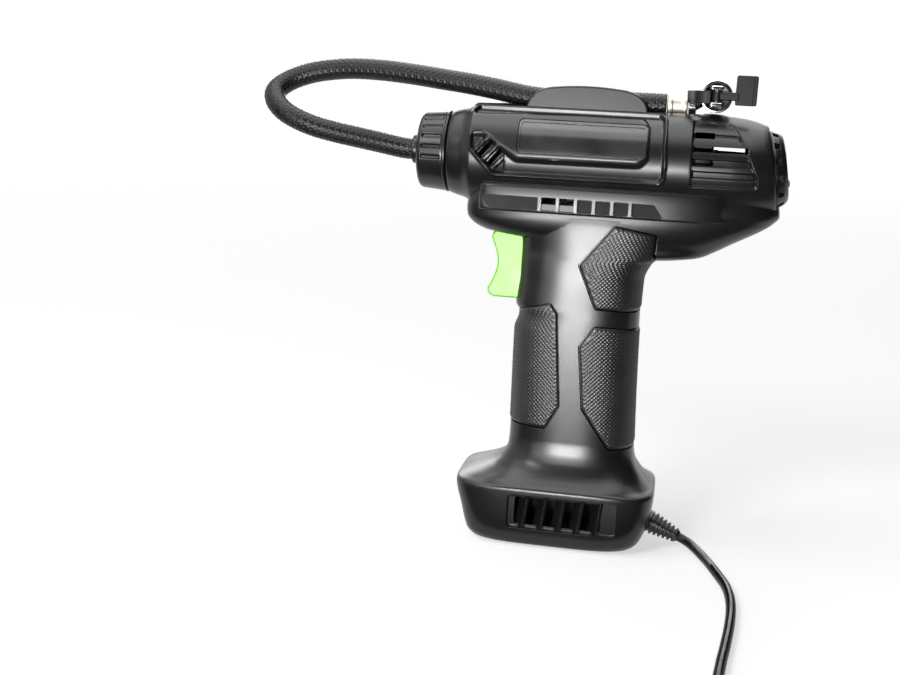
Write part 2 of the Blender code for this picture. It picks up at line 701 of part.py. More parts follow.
def make_housing():
    """Both halves: the near one is made first, and the far one is its mirror image with the screws' holes."""
    outer = join(barrel_solid("outer", 0.0), ledge_solid("ledge"), hull_solid("hull", 0.0))
    join(outer, handle_solid("handle", lambda z: 0.0))
    skin = join(barrel_solid("skin", WALL * 0.4, 0.0, BORE_SIDES), hull_solid("hull", WALL * 0.4, INNER_POINTS))
    join(skin, handle_solid("handle", lambda z: WALL * 0.4, INNER_POINTS))

    half = cut(outer, barrel_solid("bore", WALL, 0.02, BORE_SIDES), hull_solid("hold", WALL, INNER_POINTS),
               handle_solid("well", wall_at, INNER_POINTS))
    backing = block("backing", (CLIP_FRONT_X - 0.010, -0.0066, BARREL_Z + 0.0170),
                    (CHUCK_X - 0.006, 0.0066, BARREL_Z + BARREL_R - 0.001))
    seat = SWITCH_SIZE[1] / 2 + GAP
    shelf = block("shelf", (SWITCH_FRONT_X + 0.004, -0.0175, STEM_Z - 0.005), (SWITCH_FRONT_X + 0.013, -seat, STEM_Z + 0.005))
    fittings = [backing, shelf, *motor_ribs(), *screw_bosses()]
    for fitting in fittings:
        common(fitting, keep(skin))
    join(half, *fittings)

    bay = rod("bay", MOTOR_R + GAP, (MOTOR_BACK_X - MOTOR_LENGTH - 0.003, 0, MOTOR_Z), (MOTOR_BACK_X + 0.003, 0, MOTOR_Z), 24)
    nose_hole = rod("nose_hole", GLAND_R + GAP, (NOSE_X - 0.01, 0, BARREL_Z), (NOSE_X + 0.01, 0, BARREL_Z), 20)
    trigger_slot = prism("trigger_slot", oblong((-TRIGGER_HALF - GAP, TRIGGER_FOOT - GAP),
                                                (TRIGGER_HALF + GAP, TRIGGER_TOP + GAP), 0.0008), "X", -0.0378, -0.0170)
    groove = tube("groove", smooth_route(HOSE_ROUTE[16:], 8), HOSE_R + GAP + FERRULE_SHEET, 3)
    ferrule_groove = rod("ferrule_groove", HOSE_R + GAP + FERRULE_SHEET, (HOSE_ROUTE[-1][0] - 0.001, 0, HOSE_Z),
                         (CHUCK_X - 0.0062, 0, HOSE_Z), 16)
    relief_hole = rod("relief_hole", RELIEF_ROOT_R + 2 * GAP, Vector(RELIEF_ROOT) - relief_axis() * 0.004,
                      Vector(RELIEF_ROOT) + relief_axis() * 0.02, 16)
    cap_space = rod("cap_space", CAP_R + GAP, cap_point(0, 0, GAP / 3), cap_point(0, 0, 0.03), 20)
    cut(half, bay, nose_hole, trigger_slot, groove, ferrule_groove, relief_hole, cap_space)
    cut(half, pad_solid("pad_seat", PAD_INSET - GAP, -0.001, PAD_SHEET + GAP))
    common(half, block("near_side", (-0.2, -0.1, -0.1), (0.2, -GAP / 2, 0.3)))

    cut(half, panel_channel(), *front_vents(), *rear_vents(), *ledge_cells(), *grip_pockets(), base_window())
    vanes = base_vanes()
    for vane in vanes:
        common(vane, keep(skin))
    join(half, *vanes)
    bpy.data.objects.remove(skin)

    far = keep(half)
    for x, z in SCREW_SPOTS:
        cut(far, rod("head_hole", SCREW_HEAD_R + GAP, (x, GAP - SCREW_HEAD_Y, z), (x, -0.06, z), 8),
            rod("shank_hole", SCREW_SHANK_R + GAP, (x, 0.01, z), (x, -0.02, z), 8))
        cut(half, rod("pilot", SCREW_SHANK_R + GAP, (x, SCREW_HEAD_Y - SCREW_LENGTH - GAP, z), (x, 0.01, z), 8))
    badge_seat = prism("badge_seat", oblong(*badge_corners(GAP), 0.0020), "Y", -0.03, -0.004)
    cut(half, cut(badge_seat, barrel_rod("floor", BARREL_R - BADGE_SHEET)))
    finish(half, "left_housing", BLACK_PLASTIC)
    finish(mirrored(far, "far_half"), "right_housing", BLACK_PLASTIC)


def pad_solid(name, inset, low, high):
    """A flat pad under the base, drawn in from the base's lowest outline."""
    _, front, back, half, power = HANDLE_SECTIONS[0]
    return prism(name, plan(front + inset, back - inset, half - inset, power, power), "Z", low, high)


def make_pad():
    finish(pad_solid("pad", PAD_INSET, 0.0, PAD_SHEET), "foot_pad", RUBBER)


def keep(obj):
    """A copy of a helper, for a Boolean that would use it up."""
    copy = obj.copy()
    copy.data = obj.data.copy()
    CUTTERS.objects.link(copy)
    return copy


def badge_corners(spread):
    low = (BADGE_LOW[0] - spread, BARREL_Z + BADGE_LOW[1] - spread)
    high = (BADGE_HIGH[0] + spread, BARREL_Z + BADGE_HIGH[1] + spread)
    return low, high


def make_badge():
    badge = prism("badge", oblong(*badge_corners(0.0), 0.0018), "Y", -0.03, -0.004)
    common(badge, barrel_rod("face", BARREL_R + GAP))
    cut(badge, barrel_rod("back", BARREL_R - BADGE_SHEET + GAP))
    finish(badge, "badge_plate", BADGE_GREY)


def make_screws():
    for number, (x, z) in enumerate(SCREW_SPOTS, 1):
        profile = (
            (0, 0), (SCREW_HEAD_R, 0), (SCREW_HEAD_R, -0.0018), (SCREW_SHANK_R, -0.0019),
            (SCREW_SHANK_R, -SCREW_LENGTH + 0.002), (0, -SCREW_LENGTH),
        )
        screw = turned("screw", profile, (x, SCREW_HEAD_Y + 0.0018, z), (0, 1, 0), 8)
        finish(screw, f"housing_screw_{number}", STEEL)


# Nose, rear cap and gauge

def make_nose():
    back = NOSE_X - GAP
    front = NOSE_X - COLLAR_LENGTH
    profile = (
        (GLAND_R + GAP, back), (NOSE_R, back), (NOSE_R, back - 0.0022), (COLLAR_FRONT_R, front + 0.0016),
        (COLLAR_FRONT_R - 0.0010, front + 0.0004), (COLLAR_FRONT_R - 0.0030, front), (GLAND_R + GAP, front),
    )
    collar = turned("collar", [(r, -x) for r, x in profile[::-1]], (0, 0, BARREL_Z), (-1, 0, 0), 24)
    for side in (-1, 1):
        for step in range(5):
            lean = math.radians(54 - 15.5 * step)
            radius = COLLAR_FRONT_R + 0.0005
            y, z = side * radius * math.cos(lean), BARREL_Z + radius * math.sin(lean)
            cut(collar, rod("rib_groove", 0.0007, (front + 0.0016, y, z), (back - 0.0022, y, z), 4))
    finish(collar, "nose_collar", BLACK_PLASTIC)

    mouth = front - GLAND_STICK_OUT
    flange = NOSE_X + WALL + GAP
    socket = HOSE_R + GAP
    profile = (
        (AIR_BORE_R, flange + 0.0055), (0.0030, flange + 0.0055), (0.0030, flange + 0.0018), (0.0085, flange + 0.0018),
        (0.0085, flange), (GLAND_R, flange), (GLAND_R, mouth + 0.0012), (GLAND_R - 0.0006, mouth),
        (socket, mouth), (socket, mouth + GLAND_SOCKET), (AIR_BORE_R, mouth + GLAND_SOCKET),
    )
    gland = turned("gland", [(r, -x) for r, x in profile[::-1]], (0, 0, BARREL_Z), (-1, 0, 0), 12)
    finish(gland, "hose_gland", BLACK_PLASTIC)


def cap_point(right, up, out):
    """A point on the rear cap, from the middle of its rim: right as seen from behind is +Y."""
    c, s = math.cos(REAR_TILT), math.sin(REAR_TILT)
    return Vector((REAR_X + out * c - up * s, right, BARREL_Z + up * c + out * s))


def cap_turn(obj):
    """Turns a helper made with X right, Y up and Z out into the rear cap's place."""
    columns = (cap_point(1, 0, 0), cap_point(0, 1, 0), cap_point(0, 0, 1))
    middle = cap_point(0, 0, 0)
    matrix = Matrix([(*(column - middle),) for column in columns]).transposed().to_4x4()
    obj.data.transform(Matrix.Translation(middle) @ matrix)
    return obj


def make_rear_cap():
    rim = REAR_R - WALL - 2 * GAP
    inner = rim - CAP_SHEET
    flat = 0.0122
    profile = (
        (0, CAP_RISE), (flat, CAP_RISE), (flat + 0.0020, CAP_RISE - 0.0008), (CAP_R - 0.0008, CAP_RISE - 0.0030),
        (CAP_R, GAP + 0.0010), (CAP_R, GAP), (rim, GAP), (rim, -CAP_SKIRT), (inner, -CAP_SKIRT), (inner, 0.0008),
        (flat, CAP_RISE - CAP_SHEET - 0.0008), (0, CAP_RISE - CAP_SHEET),
    )
    cap = turned("cap", profile, (0, 0, 0), (0, 0, 1), 18)
    for step in range(CAP_SLOTS):
        turn = Matrix.Rotation(2 * math.pi * (step + 0.5) / CAP_SLOTS, 4, "Z")
        slot = block("slot", (inner - 0.0004, -0.0019, GAP + 0.0009), (CAP_R + 0.001, 0.0019, CAP_RISE - 0.0022))
        slot.data.transform(turn)
        cut(cap, slot)
    half_w, half_h = WINDOW_SIZE[0] / 2, WINDOW_SIZE[1] / 2
    seat = oblong((-half_w - GAP, WINDOW_UP - half_h - GAP), (half_w + GAP, WINDOW_UP + half_h + GAP), 0.0012)
    cut(cap, prism("seat", seat, "Z", CAP_RISE - 0.0010, CAP_RISE + 0.002))
    for column in (-1, 0, 1):
        x = column * BUTTON_PITCH
        cut(cap, rod("hole", BUTTON_R + GAP, (x, -BUTTON_DOWN, -0.002), (x, -BUTTON_DOWN, CAP_RISE + 0.002), 12))
    finish(cap_turn(cap), "rear_cap", BLACK_PLASTIC)

    pane = oblong((-half_w, WINDOW_UP - half_h), (half_w, WINDOW_UP + half_h), 0.0010)
    window = prism("window", pane, "Z", CAP_RISE - 0.0010 + GAP, CAP_RISE + GAP, 0.0002)
    finish(cap_turn(window), "gauge_window", GLASS_BLACK)

    board_top = -CAP_SKIRT + BOARD_SHEET + 0.0006
    board = rod("board", inner - GAP, (0, 0, board_top - BOARD_SHEET), (0, 0, board_top), 18)
    finish(cap_turn(board), "gauge_board", BOARD_GREEN)

    foot = board_top + BUTTON_TRAVEL + GAP
    shoulder = CAP_RISE - CAP_SHEET - 0.0008 - GAP
    for column, name in ((-1, "minus_button"), (0, "mode_button"), (1, "plus_button")):
        profile = (
            (0, CAP_RISE + 0.0009), (BUTTON_R - 0.0004, CAP_RISE + 0.0009), (BUTTON_R, CAP_RISE + 0.0005),
            (BUTTON_R, shoulder), (BUTTON_R + 0.0007, shoulder), (BUTTON_R + 0.0007, shoulder - 0.0008),
            (BUTTON_R - 0.0005, shoulder - 0.0008), (BUTTON_R - 0.0005, foot), (0, foot),
        )
        button = turned("button", profile, (column * BUTTON_PITCH, -BUTTON_DOWN, 0), (0, 0, 1), 10)
        finish(cap_turn(button), name, RUBBER, cap_point(column * BUTTON_PITCH, -BUTTON_DOWN, CAP_RISE))


# Hose, clip and chuck

HOSE_Z = BARREL_Z + BARREL_R + HOSE_LIFT
MOTOR_Z = BARREL_Z + MOTOR_RISE


def hose_points():
    return smooth_route(HOSE_ROUTE, HOSE_POINTS)


def make_clip():
    top = BARREL_Z + BARREL_R + CLIP_RISE
    base = BARREL_Z + BARREL_R - 0.004
    length = CLIP_BACK_X - CLIP_FRONT_X
    arch = [(CLIP_FRONT_X - 0.0010, base), (CLIP_FRONT_X, top - 0.0078), (CLIP_FRONT_X + 0.0028, top - 0.0042),
            (CLIP_FRONT_X + 0.0070, top - 0.0018)]
    for step in range(7):
        share = 0.20 + 0.60 * step / 6
        arch.append((CLIP_FRONT_X + length * share, top - 0.0018 * ((share - 0.5) / 0.38) ** 2))
    arch += [(CLIP_BACK_X - 0.0045, top - 0.0026), (CLIP_BACK_X - 0.0010, top - 0.0060), (CLIP_BACK_X, top - 0.0078),
             (CLIP_BACK_X + 0.0006, base)]
    clip = prism("clip", arch, "Y", -CLIP_HALF, CLIP_HALF, 0.0012)
    cut(clip, barrel_rod("barrel", BARREL_R + GAP), tube("hose_way", hose_points(), HOSE_R + GAP + FERRULE_SHEET, 3))
    mouth = HOSE_R - 0.0012
    cut(clip, block("mouth", (CLIP_FRONT_X - 0.01, -mouth, HOSE_Z), (CLIP_BACK_X + 0.01, mouth, top + 0.01)))
    common(clip, block("near", (-0.1, -0.05, 0), (0.1, 0, 0.3)))
    finish(mirrored(clip, "far"), "right_clip_jaw", BLACK_PLASTIC)
    finish(clip, "left_clip_jaw", BLACK_PLASTIC)


def make_hose():
    finish(tube("hose", hose_points(), HOSE_R, 2), "air_hose", BRAID, HOSE_ROUTE[0])
    start = HOSE_ROUTE[-1][0] + GAP
    end = start + FERRULE_LENGTH
    outer = HOSE_R + FERRULE_SHEET
    profile = (
        (0, start), (outer - 0.0003, start), (outer, start + 0.0005), (outer, start + 0.0020), (outer - 0.0003, start + 0.0026),
        (outer - 0.0003, end - 0.0026), (outer, end - 0.0020), (outer, end - 0.0005), (outer - 0.0010, end), (0, end),
    )
    finish(turned("ferrule", profile[::-1], (0, 0, HOSE_Z), (1, 0, 0), 14), "hose_ferrule", ALUMINIUM)


def make_chuck():
    """A clamp-on chuck whose axis lies across the barrel, with its mouth on the far side."""
    z = BARREL_Z + BARREL_R + CHUCK_R + GAP
    hub_y = -CHUCK_BACK - LEVER_HUB_R - GAP
    profile = (
        (VALVE_BORE_R, CHUCK_MOUTH), (CHUCK_R - 0.0012, CHUCK_MOUTH), (CHUCK_R - 0.0006, CHUCK_MOUTH - 0.0006),
        (CHUCK_R - 0.0006, 0.0040), (CHUCK_R, 0.0032), (CHUCK_R, -CHUCK_BACK + 0.0030), (CHUCK_R - 0.0008, -CHUCK_BACK + 0.0026),
        (CHUCK_R - 0.0008, -CHUCK_BACK + 0.0018), (CHUCK_R, -CHUCK_BACK + 0.0014), (CHUCK_R, -CHUCK_BACK), (0, -CHUCK_BACK),
        (0, CHUCK_MOUTH - VALVE_BORE_DEPTH), (VALVE_BORE_R, CHUCK_MOUTH - VALVE_BORE_DEPTH),
    )
    body = turned("chuck", rotate_to_axis(profile), (CHUCK_X, 0, z), (0, 1, 0), 14)
    stub_start = HOSE_ROUTE[-1][0] + FERRULE_LENGTH + 2 * GAP
    join(body, rod("neck", 0.0034, (stub_start, 0, HOSE_Z), (stub_start + 0.0032, 0, HOSE_Z), 12),
         rod("throat", 0.0025, (stub_start + 0.0021, 0, HOSE_Z + 0.0004), (CHUCK_X - 0.003, 0, z), 10))
    inner = 0.0021 + GAP
    for side in (-1, 1):
        low, high = sorted((z + side * inner, z + side * (inner + 0.0020)))
        ear = block("ear", (CHUCK_X - 0.0024, hub_y - 0.0018, low), (CHUCK_X + 0.0024, -CHUCK_BACK + 0.001, high), 0.0005)
        join(body, ear)
    reach = inner + 0.0020
    cut(body, rod("pin_hole", LEVER_PIN_R + GAP, (CHUCK_X, hub_y, z - reach - 0.01), (CHUCK_X, hub_y, z + reach + 0.01), 8))
    finish(body, "chuck_body", CHROME)

    profile = ((VALVE_BORE_R - GAP, 0.0016), (VALVE_BORE_R - GAP, 0), (0.0016, 0), (0.0016, 0.0016))
    seal = turned("seal", profile, (CHUCK_X, CHUCK_MOUTH - VALVE_BORE_DEPTH + GAP, z), (0, 1, 0), 14)
    finish(seal, "chuck_seal", RUBBER)

    pivot = (CHUCK_X, hub_y, z)
    finish(rod("pin", LEVER_PIN_R, (CHUCK_X, hub_y, z - reach), (CHUCK_X, hub_y, z + reach), 8), "lever_pin", STEEL, pivot)

    lever = rod("hub", LEVER_HUB_R, (CHUCK_X, hub_y, z - 0.0021), (CHUCK_X, hub_y, z + 0.0021), 14)
    paddle_x = CHUCK_X + CHUCK_R + 0.0008
    arm = block("arm", (CHUCK_X, hub_y - 0.0015, z - 0.0016), (paddle_x + 0.0015, hub_y + 0.0010, z + 0.0016), 0.0006)
    paddle = block("paddle", (paddle_x, hub_y - PADDLE_SHEET / 2, z - 0.0032),
                   (paddle_x + PADDLE_LENGTH, hub_y + PADDLE_SHEET / 2, z - 0.0032 + PADDLE_HEIGHT), 0.0007)
    join(lever, arm, paddle)
    cut(lever, rod("hole", LEVER_PIN_R + GAP, (CHUCK_X, hub_y, z - 0.02), (CHUCK_X, hub_y, z + 0.02), 10))
    finish(lever, "chuck_lever", BLACK_PLASTIC, pivot)


def rotate_to_axis(profile):
    """The profile started on its axis, so that it ends there too."""
    first = [i for i, (radius, _) in enumerate(profile) if radius == 0][1]
    return list(profile[first:]) + list(profile[:first])


# Trigger

def make_trigger():
    face = smooth_route(((-0.0360, TRIGGER_TOP - 0.0010, 0), (-0.0366, TRIGGER_TOP - 0.0035, 0), (-0.0356, 0.1310, 0),
                         (-0.0338, 0.1255, 0), (-0.0337, 0.1205, 0), (-0.0355, 0.1150, 0), (-0.0374, 0.1108, 0),
                         (-0.0366, 0.1086, 0), (-0.0345, TRIGGER_FOOT, 0)), 16)
    outline = [(point.x, point.y) for point in face]
    outline += [(TRIGGER_BACK_X, TRIGGER_FOOT), (TRIGGER_BACK_X, TRIGGER_TOP), (-0.0345, TRIGGER_TOP)]
    trigger = prism("trigger", outline, "Y", -TRIGGER_HALF, TRIGGER_HALF, 0.0016)
    join(trigger, rod("stem", STEM_R, (TRIGGER_BACK_X - 0.002, 0, STEM_Z), (SWITCH_FRONT_X + 0.0030, 0, STEM_Z), 10))
    finish(trigger, "trigger", LIME_PLASTIC, (TRIGGER_BACK_X, 0, STEM_Z))

    long, wide, high = SWITCH_SIZE
    switch = block("switch", (SWITCH_FRONT_X, -wide / 2, STEM_Z - high / 2), (SWITCH_FRONT_X + long, wide / 2, STEM_Z + high / 2),
                   0.0006)
    bore_end = SWITCH_FRONT_X + 0.0030 + TRIGGER_TRAVEL + 3 * GAP
    cut(switch, rod("bore", STEM_R + GAP, (SWITCH_FRONT_X - 0.01, 0, STEM_Z), (bore_end, 0, STEM_Z), 10))
    spring_bore = SPRING_R + SPRING_WIRE_R + GAP
    cut(switch, rod("spring_bore", spring_bore, (SWITCH_FRONT_X - 0.01, 0, STEM_Z),
                    (SWITCH_FRONT_X + TRIGGER_TRAVEL + GAP, 0, STEM_Z), 12))
    finish(switch, "trigger_switch", BLACK_PLASTIC)

    start = TRIGGER_BACK_X + SPRING_WIRE_R + GAP
    end = SWITCH_FRONT_X - SPRING_WIRE_R - GAP
    turns = []
    count = SPRING_TURNS * 8
    for step in range(count + 1):
        angle = 2 * math.pi * step / 8
        x = start + (end - start) * step / count
        turns.append((x, SPRING_R * math.cos(angle), STEM_Z + SPRING_R * math.sin(angle)))
    finish(tube("spring", turns, SPRING_WIRE_R, 0), "trigger_spring", STEEL)


# Motor and pump

def gear_outline(teeth, phase):
    """Points round a gear, with straight-sided teeth."""
    pitch_r = TOOTH_MODULE * teeth / 2
    points = []
    for tooth in range(teeth):
        middle = 2 * math.pi * (tooth + phase) / teeth
        for share, radius in ((-0.29, -1.15), (-0.10, 0.75), (0.10, 0.75), (0.29, -1.15)):
            angle = middle + share * 2 * math.pi / teeth
            reach = pitch_r + radius * TOOTH_MODULE
            points.append((reach * math.sin(angle), reach * math.cos(angle)))
    return points


def make_drive():
    front = MOTOR_BACK_X - MOTOR_LENGTH
    boss = 0.0020
    bore = SHAFT_R + GAP
    profile = (
        (bore, MOTOR_BACK_X), (0.0050, MOTOR_BACK_X), (0.0050, MOTOR_BACK_X - boss), (MOTOR_R - 0.0010, MOTOR_BACK_X - boss),
        (MOTOR_R, MOTOR_BACK_X - boss - 0.0010), (MOTOR_R, front + 0.0010), (MOTOR_R - 0.0010, front), (0.0050, front),
        (0.0050, front - boss), (bore, front - boss),
    )
    finish(turned("can", profile, (0, 0, MOTOR_Z), (1, 0, 0), 16), "motor_can", STEEL)

    plate_back = front - boss + 0.0017
    plate = plate_back - FRAME_SHEET
    gear_back = plate - 0.0012
    gear_front = gear_back - GEAR_WIDTH
    gear_z = MOTOR_Z - GEAR_SPACING
    motor_axis = (0, 0, MOTOR_Z)
    shaft = rod("shaft", SHAFT_R, (gear_front - 0.0008, 0, MOTOR_Z), (MOTOR_BACK_X + 0.0006, 0, MOTOR_Z), 10)
    finish(shaft, "motor_shaft", STEEL, motor_axis)

    pinion_outline = [(y, MOTOR_Z + z) for y, z in gear_outline(PINION_TEETH, 0.0)]
    pinion = prism("pinion", pinion_outline, "X", gear_front - 0.0004, gear_back + 0.0004)
    cut(pinion, rod("bore", SHAFT_R + GAP, (gear_front - 0.01, 0, MOTOR_Z), (gear_back + 0.01, 0, MOTOR_Z), 10))
    finish(pinion, "motor_pinion", BRASS, motor_axis)

    gear_axis = (0, 0, gear_z)
    pin_z = gear_z - CRANK_R
    gear = prism("gear", [(y, gear_z + z) for y, z in gear_outline(GEAR_TEETH, 0.5)], "X", gear_front, gear_back)
    cut(gear, rod("axle_hole", AXLE_R + GAP, (gear_front + 0.0018, 0, gear_z), (gear_back + 0.01, 0, gear_z), 12),
        rod("pin_hole", CRANK_PIN_R + GAP, (gear_front - 0.01, 0, pin_z), (gear_front + 0.0012, 0, pin_z), 12))
    finish(gear, "drive_gear", WHITE_PLASTIC, gear_axis)
    axle = rod("axle", AXLE_R, (gear_front + 0.0018 + GAP, 0, gear_z), (plate_back + 0.0012, 0, gear_z), 12)
    finish(axle, "gear_axle", STEEL, gear_axis)

    rod_half = ROD_SHEET / 2
    pin = rod("crank_pin", CRANK_PIN_R, (CYLINDER_X - rod_half - 0.0010, 0, pin_z), (gear_front + 0.0012 - GAP, 0, pin_z), 12)
    finish(pin, "crank_pin", STEEL, (0, 0, pin_z))

    wrist_z = pin_z + ROD_LENGTH
    low_x, high_x = CYLINDER_X - rod_half, CYLINDER_X + rod_half
    link = rod("big_end", 0.0033, (low_x, 0, pin_z), (high_x, 0, pin_z), 14)
    join(link, rod("small_end", 0.0026, (low_x, 0, wrist_z), (high_x, 0, wrist_z), 12),
         block("shank", (low_x + 0.0005, -0.0016, pin_z + 0.001), (high_x - 0.0005, 0.0016, wrist_z - 0.001)))
    cut(link, rod("big_eye", CRANK_PIN_R + GAP, (low_x - 0.01, 0, pin_z), (high_x + 0.01, 0, pin_z), 12),
        rod("small_eye", WRIST_PIN_R + GAP, (low_x - 0.01, 0, wrist_z), (high_x + 0.01, 0, wrist_z), 10))
    finish(link, "connecting_rod", ALUMINIUM, (CYLINDER_X, 0, pin_z))
    wrist = rod("wrist", WRIST_PIN_R, (low_x - 0.0016, 0, wrist_z), (high_x + 0.0016, 0, wrist_z), 10)
    finish(wrist, "wrist_pin", STEEL, (CYLINDER_X, 0, wrist_z))

    crown_under = wrist_z + 2 * CRANK_R + 0.0026 + 0.0004
    crown = crown_under + 0.0020
    skirt = crown - PISTON_HEIGHT
    ring_top = crown - 0.0012
    ring_low = ring_top - 0.0016
    inner = PISTON_R - 0.0012
    profile = (
        (0, crown), (PISTON_R, crown), (PISTON_R, ring_top), (PISTON_R - 0.0008, ring_top), (PISTON_R - 0.0008, ring_low),
        (PISTON_R, ring_low), (PISTON_R, skirt), (inner, skirt), (inner, crown_under), (0, crown_under),
    )
    finish(turned("piston", profile, (CYLINDER_X, 0, 0), (0, 0, 1), 14), "piston", ALUMINIUM, (CYLINDER_X, 0, crown))
    ring_inner = PISTON_R - 0.0008 + GAP
    ring = turned("ring", ((ring_inner, ring_top - GAP), (BORE_R - GAP, ring_top - GAP), (BORE_R - GAP, ring_low + GAP),
                           (ring_inner, ring_low + GAP)), (CYLINDER_X, 0, 0), (0, 0, 1), 14)
    finish(ring, "piston_ring", RUBBER, (CYLINDER_X, 0, crown))

    arm_low = gear_z + TOOTH_MODULE * (GEAR_TEETH / 2 + 0.75) + 0.0008
    arm_high = arm_low + FRAME_SHEET
    outer = BORE_R + CYLINDER_WALL
    top = crown + 2 * CRANK_R + 0.0005
    flange = arm_high + GAP
    profile = (
        (BORE_R, top), (outer, top), (outer, flange + 0.0016), (outer + 0.0015, flange + 0.0016), (outer + 0.0015, flange),
        (outer, flange), (outer, arm_low - 0.0006), (BORE_R, arm_low - 0.0006),
    )
    finish(turned("cylinder", profile, (CYLINDER_X, 0, 0), (0, 0, 1), 14), "cylinder", ALUMINIUM)

    head_low = top + GAP
    nipple_z = head_low + HEAD_HEIGHT / 2
    nipple_x = CYLINDER_X - outer - 0.0045
    head = turned("head", ((0, head_low + HEAD_HEIGHT), (outer - 0.0006, head_low + HEAD_HEIGHT),
                           (outer, head_low + HEAD_HEIGHT - 0.0006), (outer, head_low), (0, head_low)),
                  (CYLINDER_X, 0, 0), (0, 0, 1), 14)
    join(head, rod("nipple", HEAD_HEIGHT / 2 - 0.0002, (CYLINDER_X, 0, nipple_z), (nipple_x, 0, nipple_z), 10))
    finish(head, "cylinder_head", ALUMINIUM)

    arm_front = CYLINDER_X - outer - 0.0028
    frame = block("frame", (plate, -0.0125, gear_z - 0.0060), (plate_back, 0.0125, MOTOR_Z + 0.0085), 0.0008)
    join(frame, block("arm", (arm_front, -0.0122, arm_low), (plate + 0.001, 0.0122, arm_high), 0.0005))
    pinion_way = TOOTH_MODULE * (PINION_TEETH / 2 + 0.75) + 0.0008
    cut(frame, rod("cylinder_hole", outer + GAP, (CYLINDER_X, 0, arm_low - 0.01), (CYLINDER_X, 0, arm_high + 0.01), 14),
        block("pinion_way", (CYLINDER_X, -pinion_way, arm_low - 0.01), (plate, pinion_way, arm_high + 0.01)),
        rod("motor_hole", 0.0050 + GAP, (plate - 0.01, 0, MOTOR_Z), (plate_back + 0.01, 0, MOTOR_Z), 12),
        rod("axle_hole", AXLE_R + GAP, (plate - 0.01, 0, gear_z), (plate_back + 0.01, 0, gear_z), 12))
    finish(frame, "gear_frame", STEEL)

    spigot = NOSE_X + WALL + GAP + 0.0055
    way = smooth_route(((nipple_x - GAP, 0, nipple_z), (nipple_x - 0.004, 0, nipple_z), (nipple_x - 0.014, 0, nipple_z - 0.004),
                        (spigot + 0.012, 0, BARREL_Z + 0.003), (spigot + 0.004, 0, BARREL_Z), (spigot + GAP, 0, BARREL_Z)), 14)
    finish(tube("air_tube", way, AIR_TUBE_R, 1), "air_tube", RUBBER)


GEAR_SPACING = TOOTH_MODULE * (PINION_TEETH + GEAR_TEETH) / 2 + 0.0002


# Power cord, coil and plug

def relief_axis():
    return (Vector(RELIEF_END) - Vector(RELIEF_ROOT)).normalized()


def make_relief():
    length = (Vector(RELIEF_END) - Vector(RELIEF_ROOT)).length
    flange = -0.0018
    profile = [(0, length), (RELIEF_TIP_R, length)]
    straight = 0.0096
    for step in range(RELIEF_RIBS):
        for part, dip in ((0.0, 0.0), (0.45, 0.0), (0.55, 0.0006), (0.95, 0.0006)):
            share = (step + part) / RELIEF_RIBS
            at = length - 0.0008 - (length - 0.0008 - straight) * share
            radius = RELIEF_TIP_R + (RELIEF_ROOT_R - RELIEF_TIP_R) * share
            profile.append((radius - dip, at))
    profile += [(RELIEF_ROOT_R, straight), (RELIEF_ROOT_R, flange + 0.0018), (RELIEF_ROOT_R + 0.0014, flange + 0.0018),
                (RELIEF_ROOT_R + 0.0014, flange), (0, flange)]
    relief = turned("relief", profile, RELIEF_ROOT, relief_axis(), 10)
    finish(relief, "strain_relief", RUBBER)


def coil_points():
    """Piled loops that spiral in and out by turns, and climb a layer over half a turn where they reverse."""
    per_layer = (COIL_TURNS - 0.5 * (COIL_LAYERS - 1)) / COIL_LAYERS
    outer = COIL_MIDDLE_R + per_layer * COIL_PITCH / 2
    floor = CORD_R + TIE_SHEET + 2 * GAP
    points = []
    for step in range(round(COIL_TURNS * COIL_LOOP_POINTS) + 1):
        turns = step / COIL_LOOP_POINTS
        layer = min(int(turns / (per_layer + 0.5)), COIL_LAYERS - 1)
        into = turns - layer * (per_layer + 0.5)
        climb = max(0.0, into - per_layer) / 0.5
        inward = COIL_PITCH * min(into, per_layer)
        radius = outer - (inward if layer % 2 == 0 else per_layer * COIL_PITCH - inward)
        angle = -2 * math.pi * turns
        level = floor + COIL_STEP_UP * (layer + climb)
        points.append(Vector((COIL_X + radius * math.cos(angle), COIL_Y + radius * math.sin(angle), level)))
    return points


def self_gap(points, radius, near):
    """The least clear distance of a tube from itself, leaving out neighbours along it."""
    least = min((a - b).length for i, a in enumerate(points) for b in points[i + near:])
    return least - 2 * radius


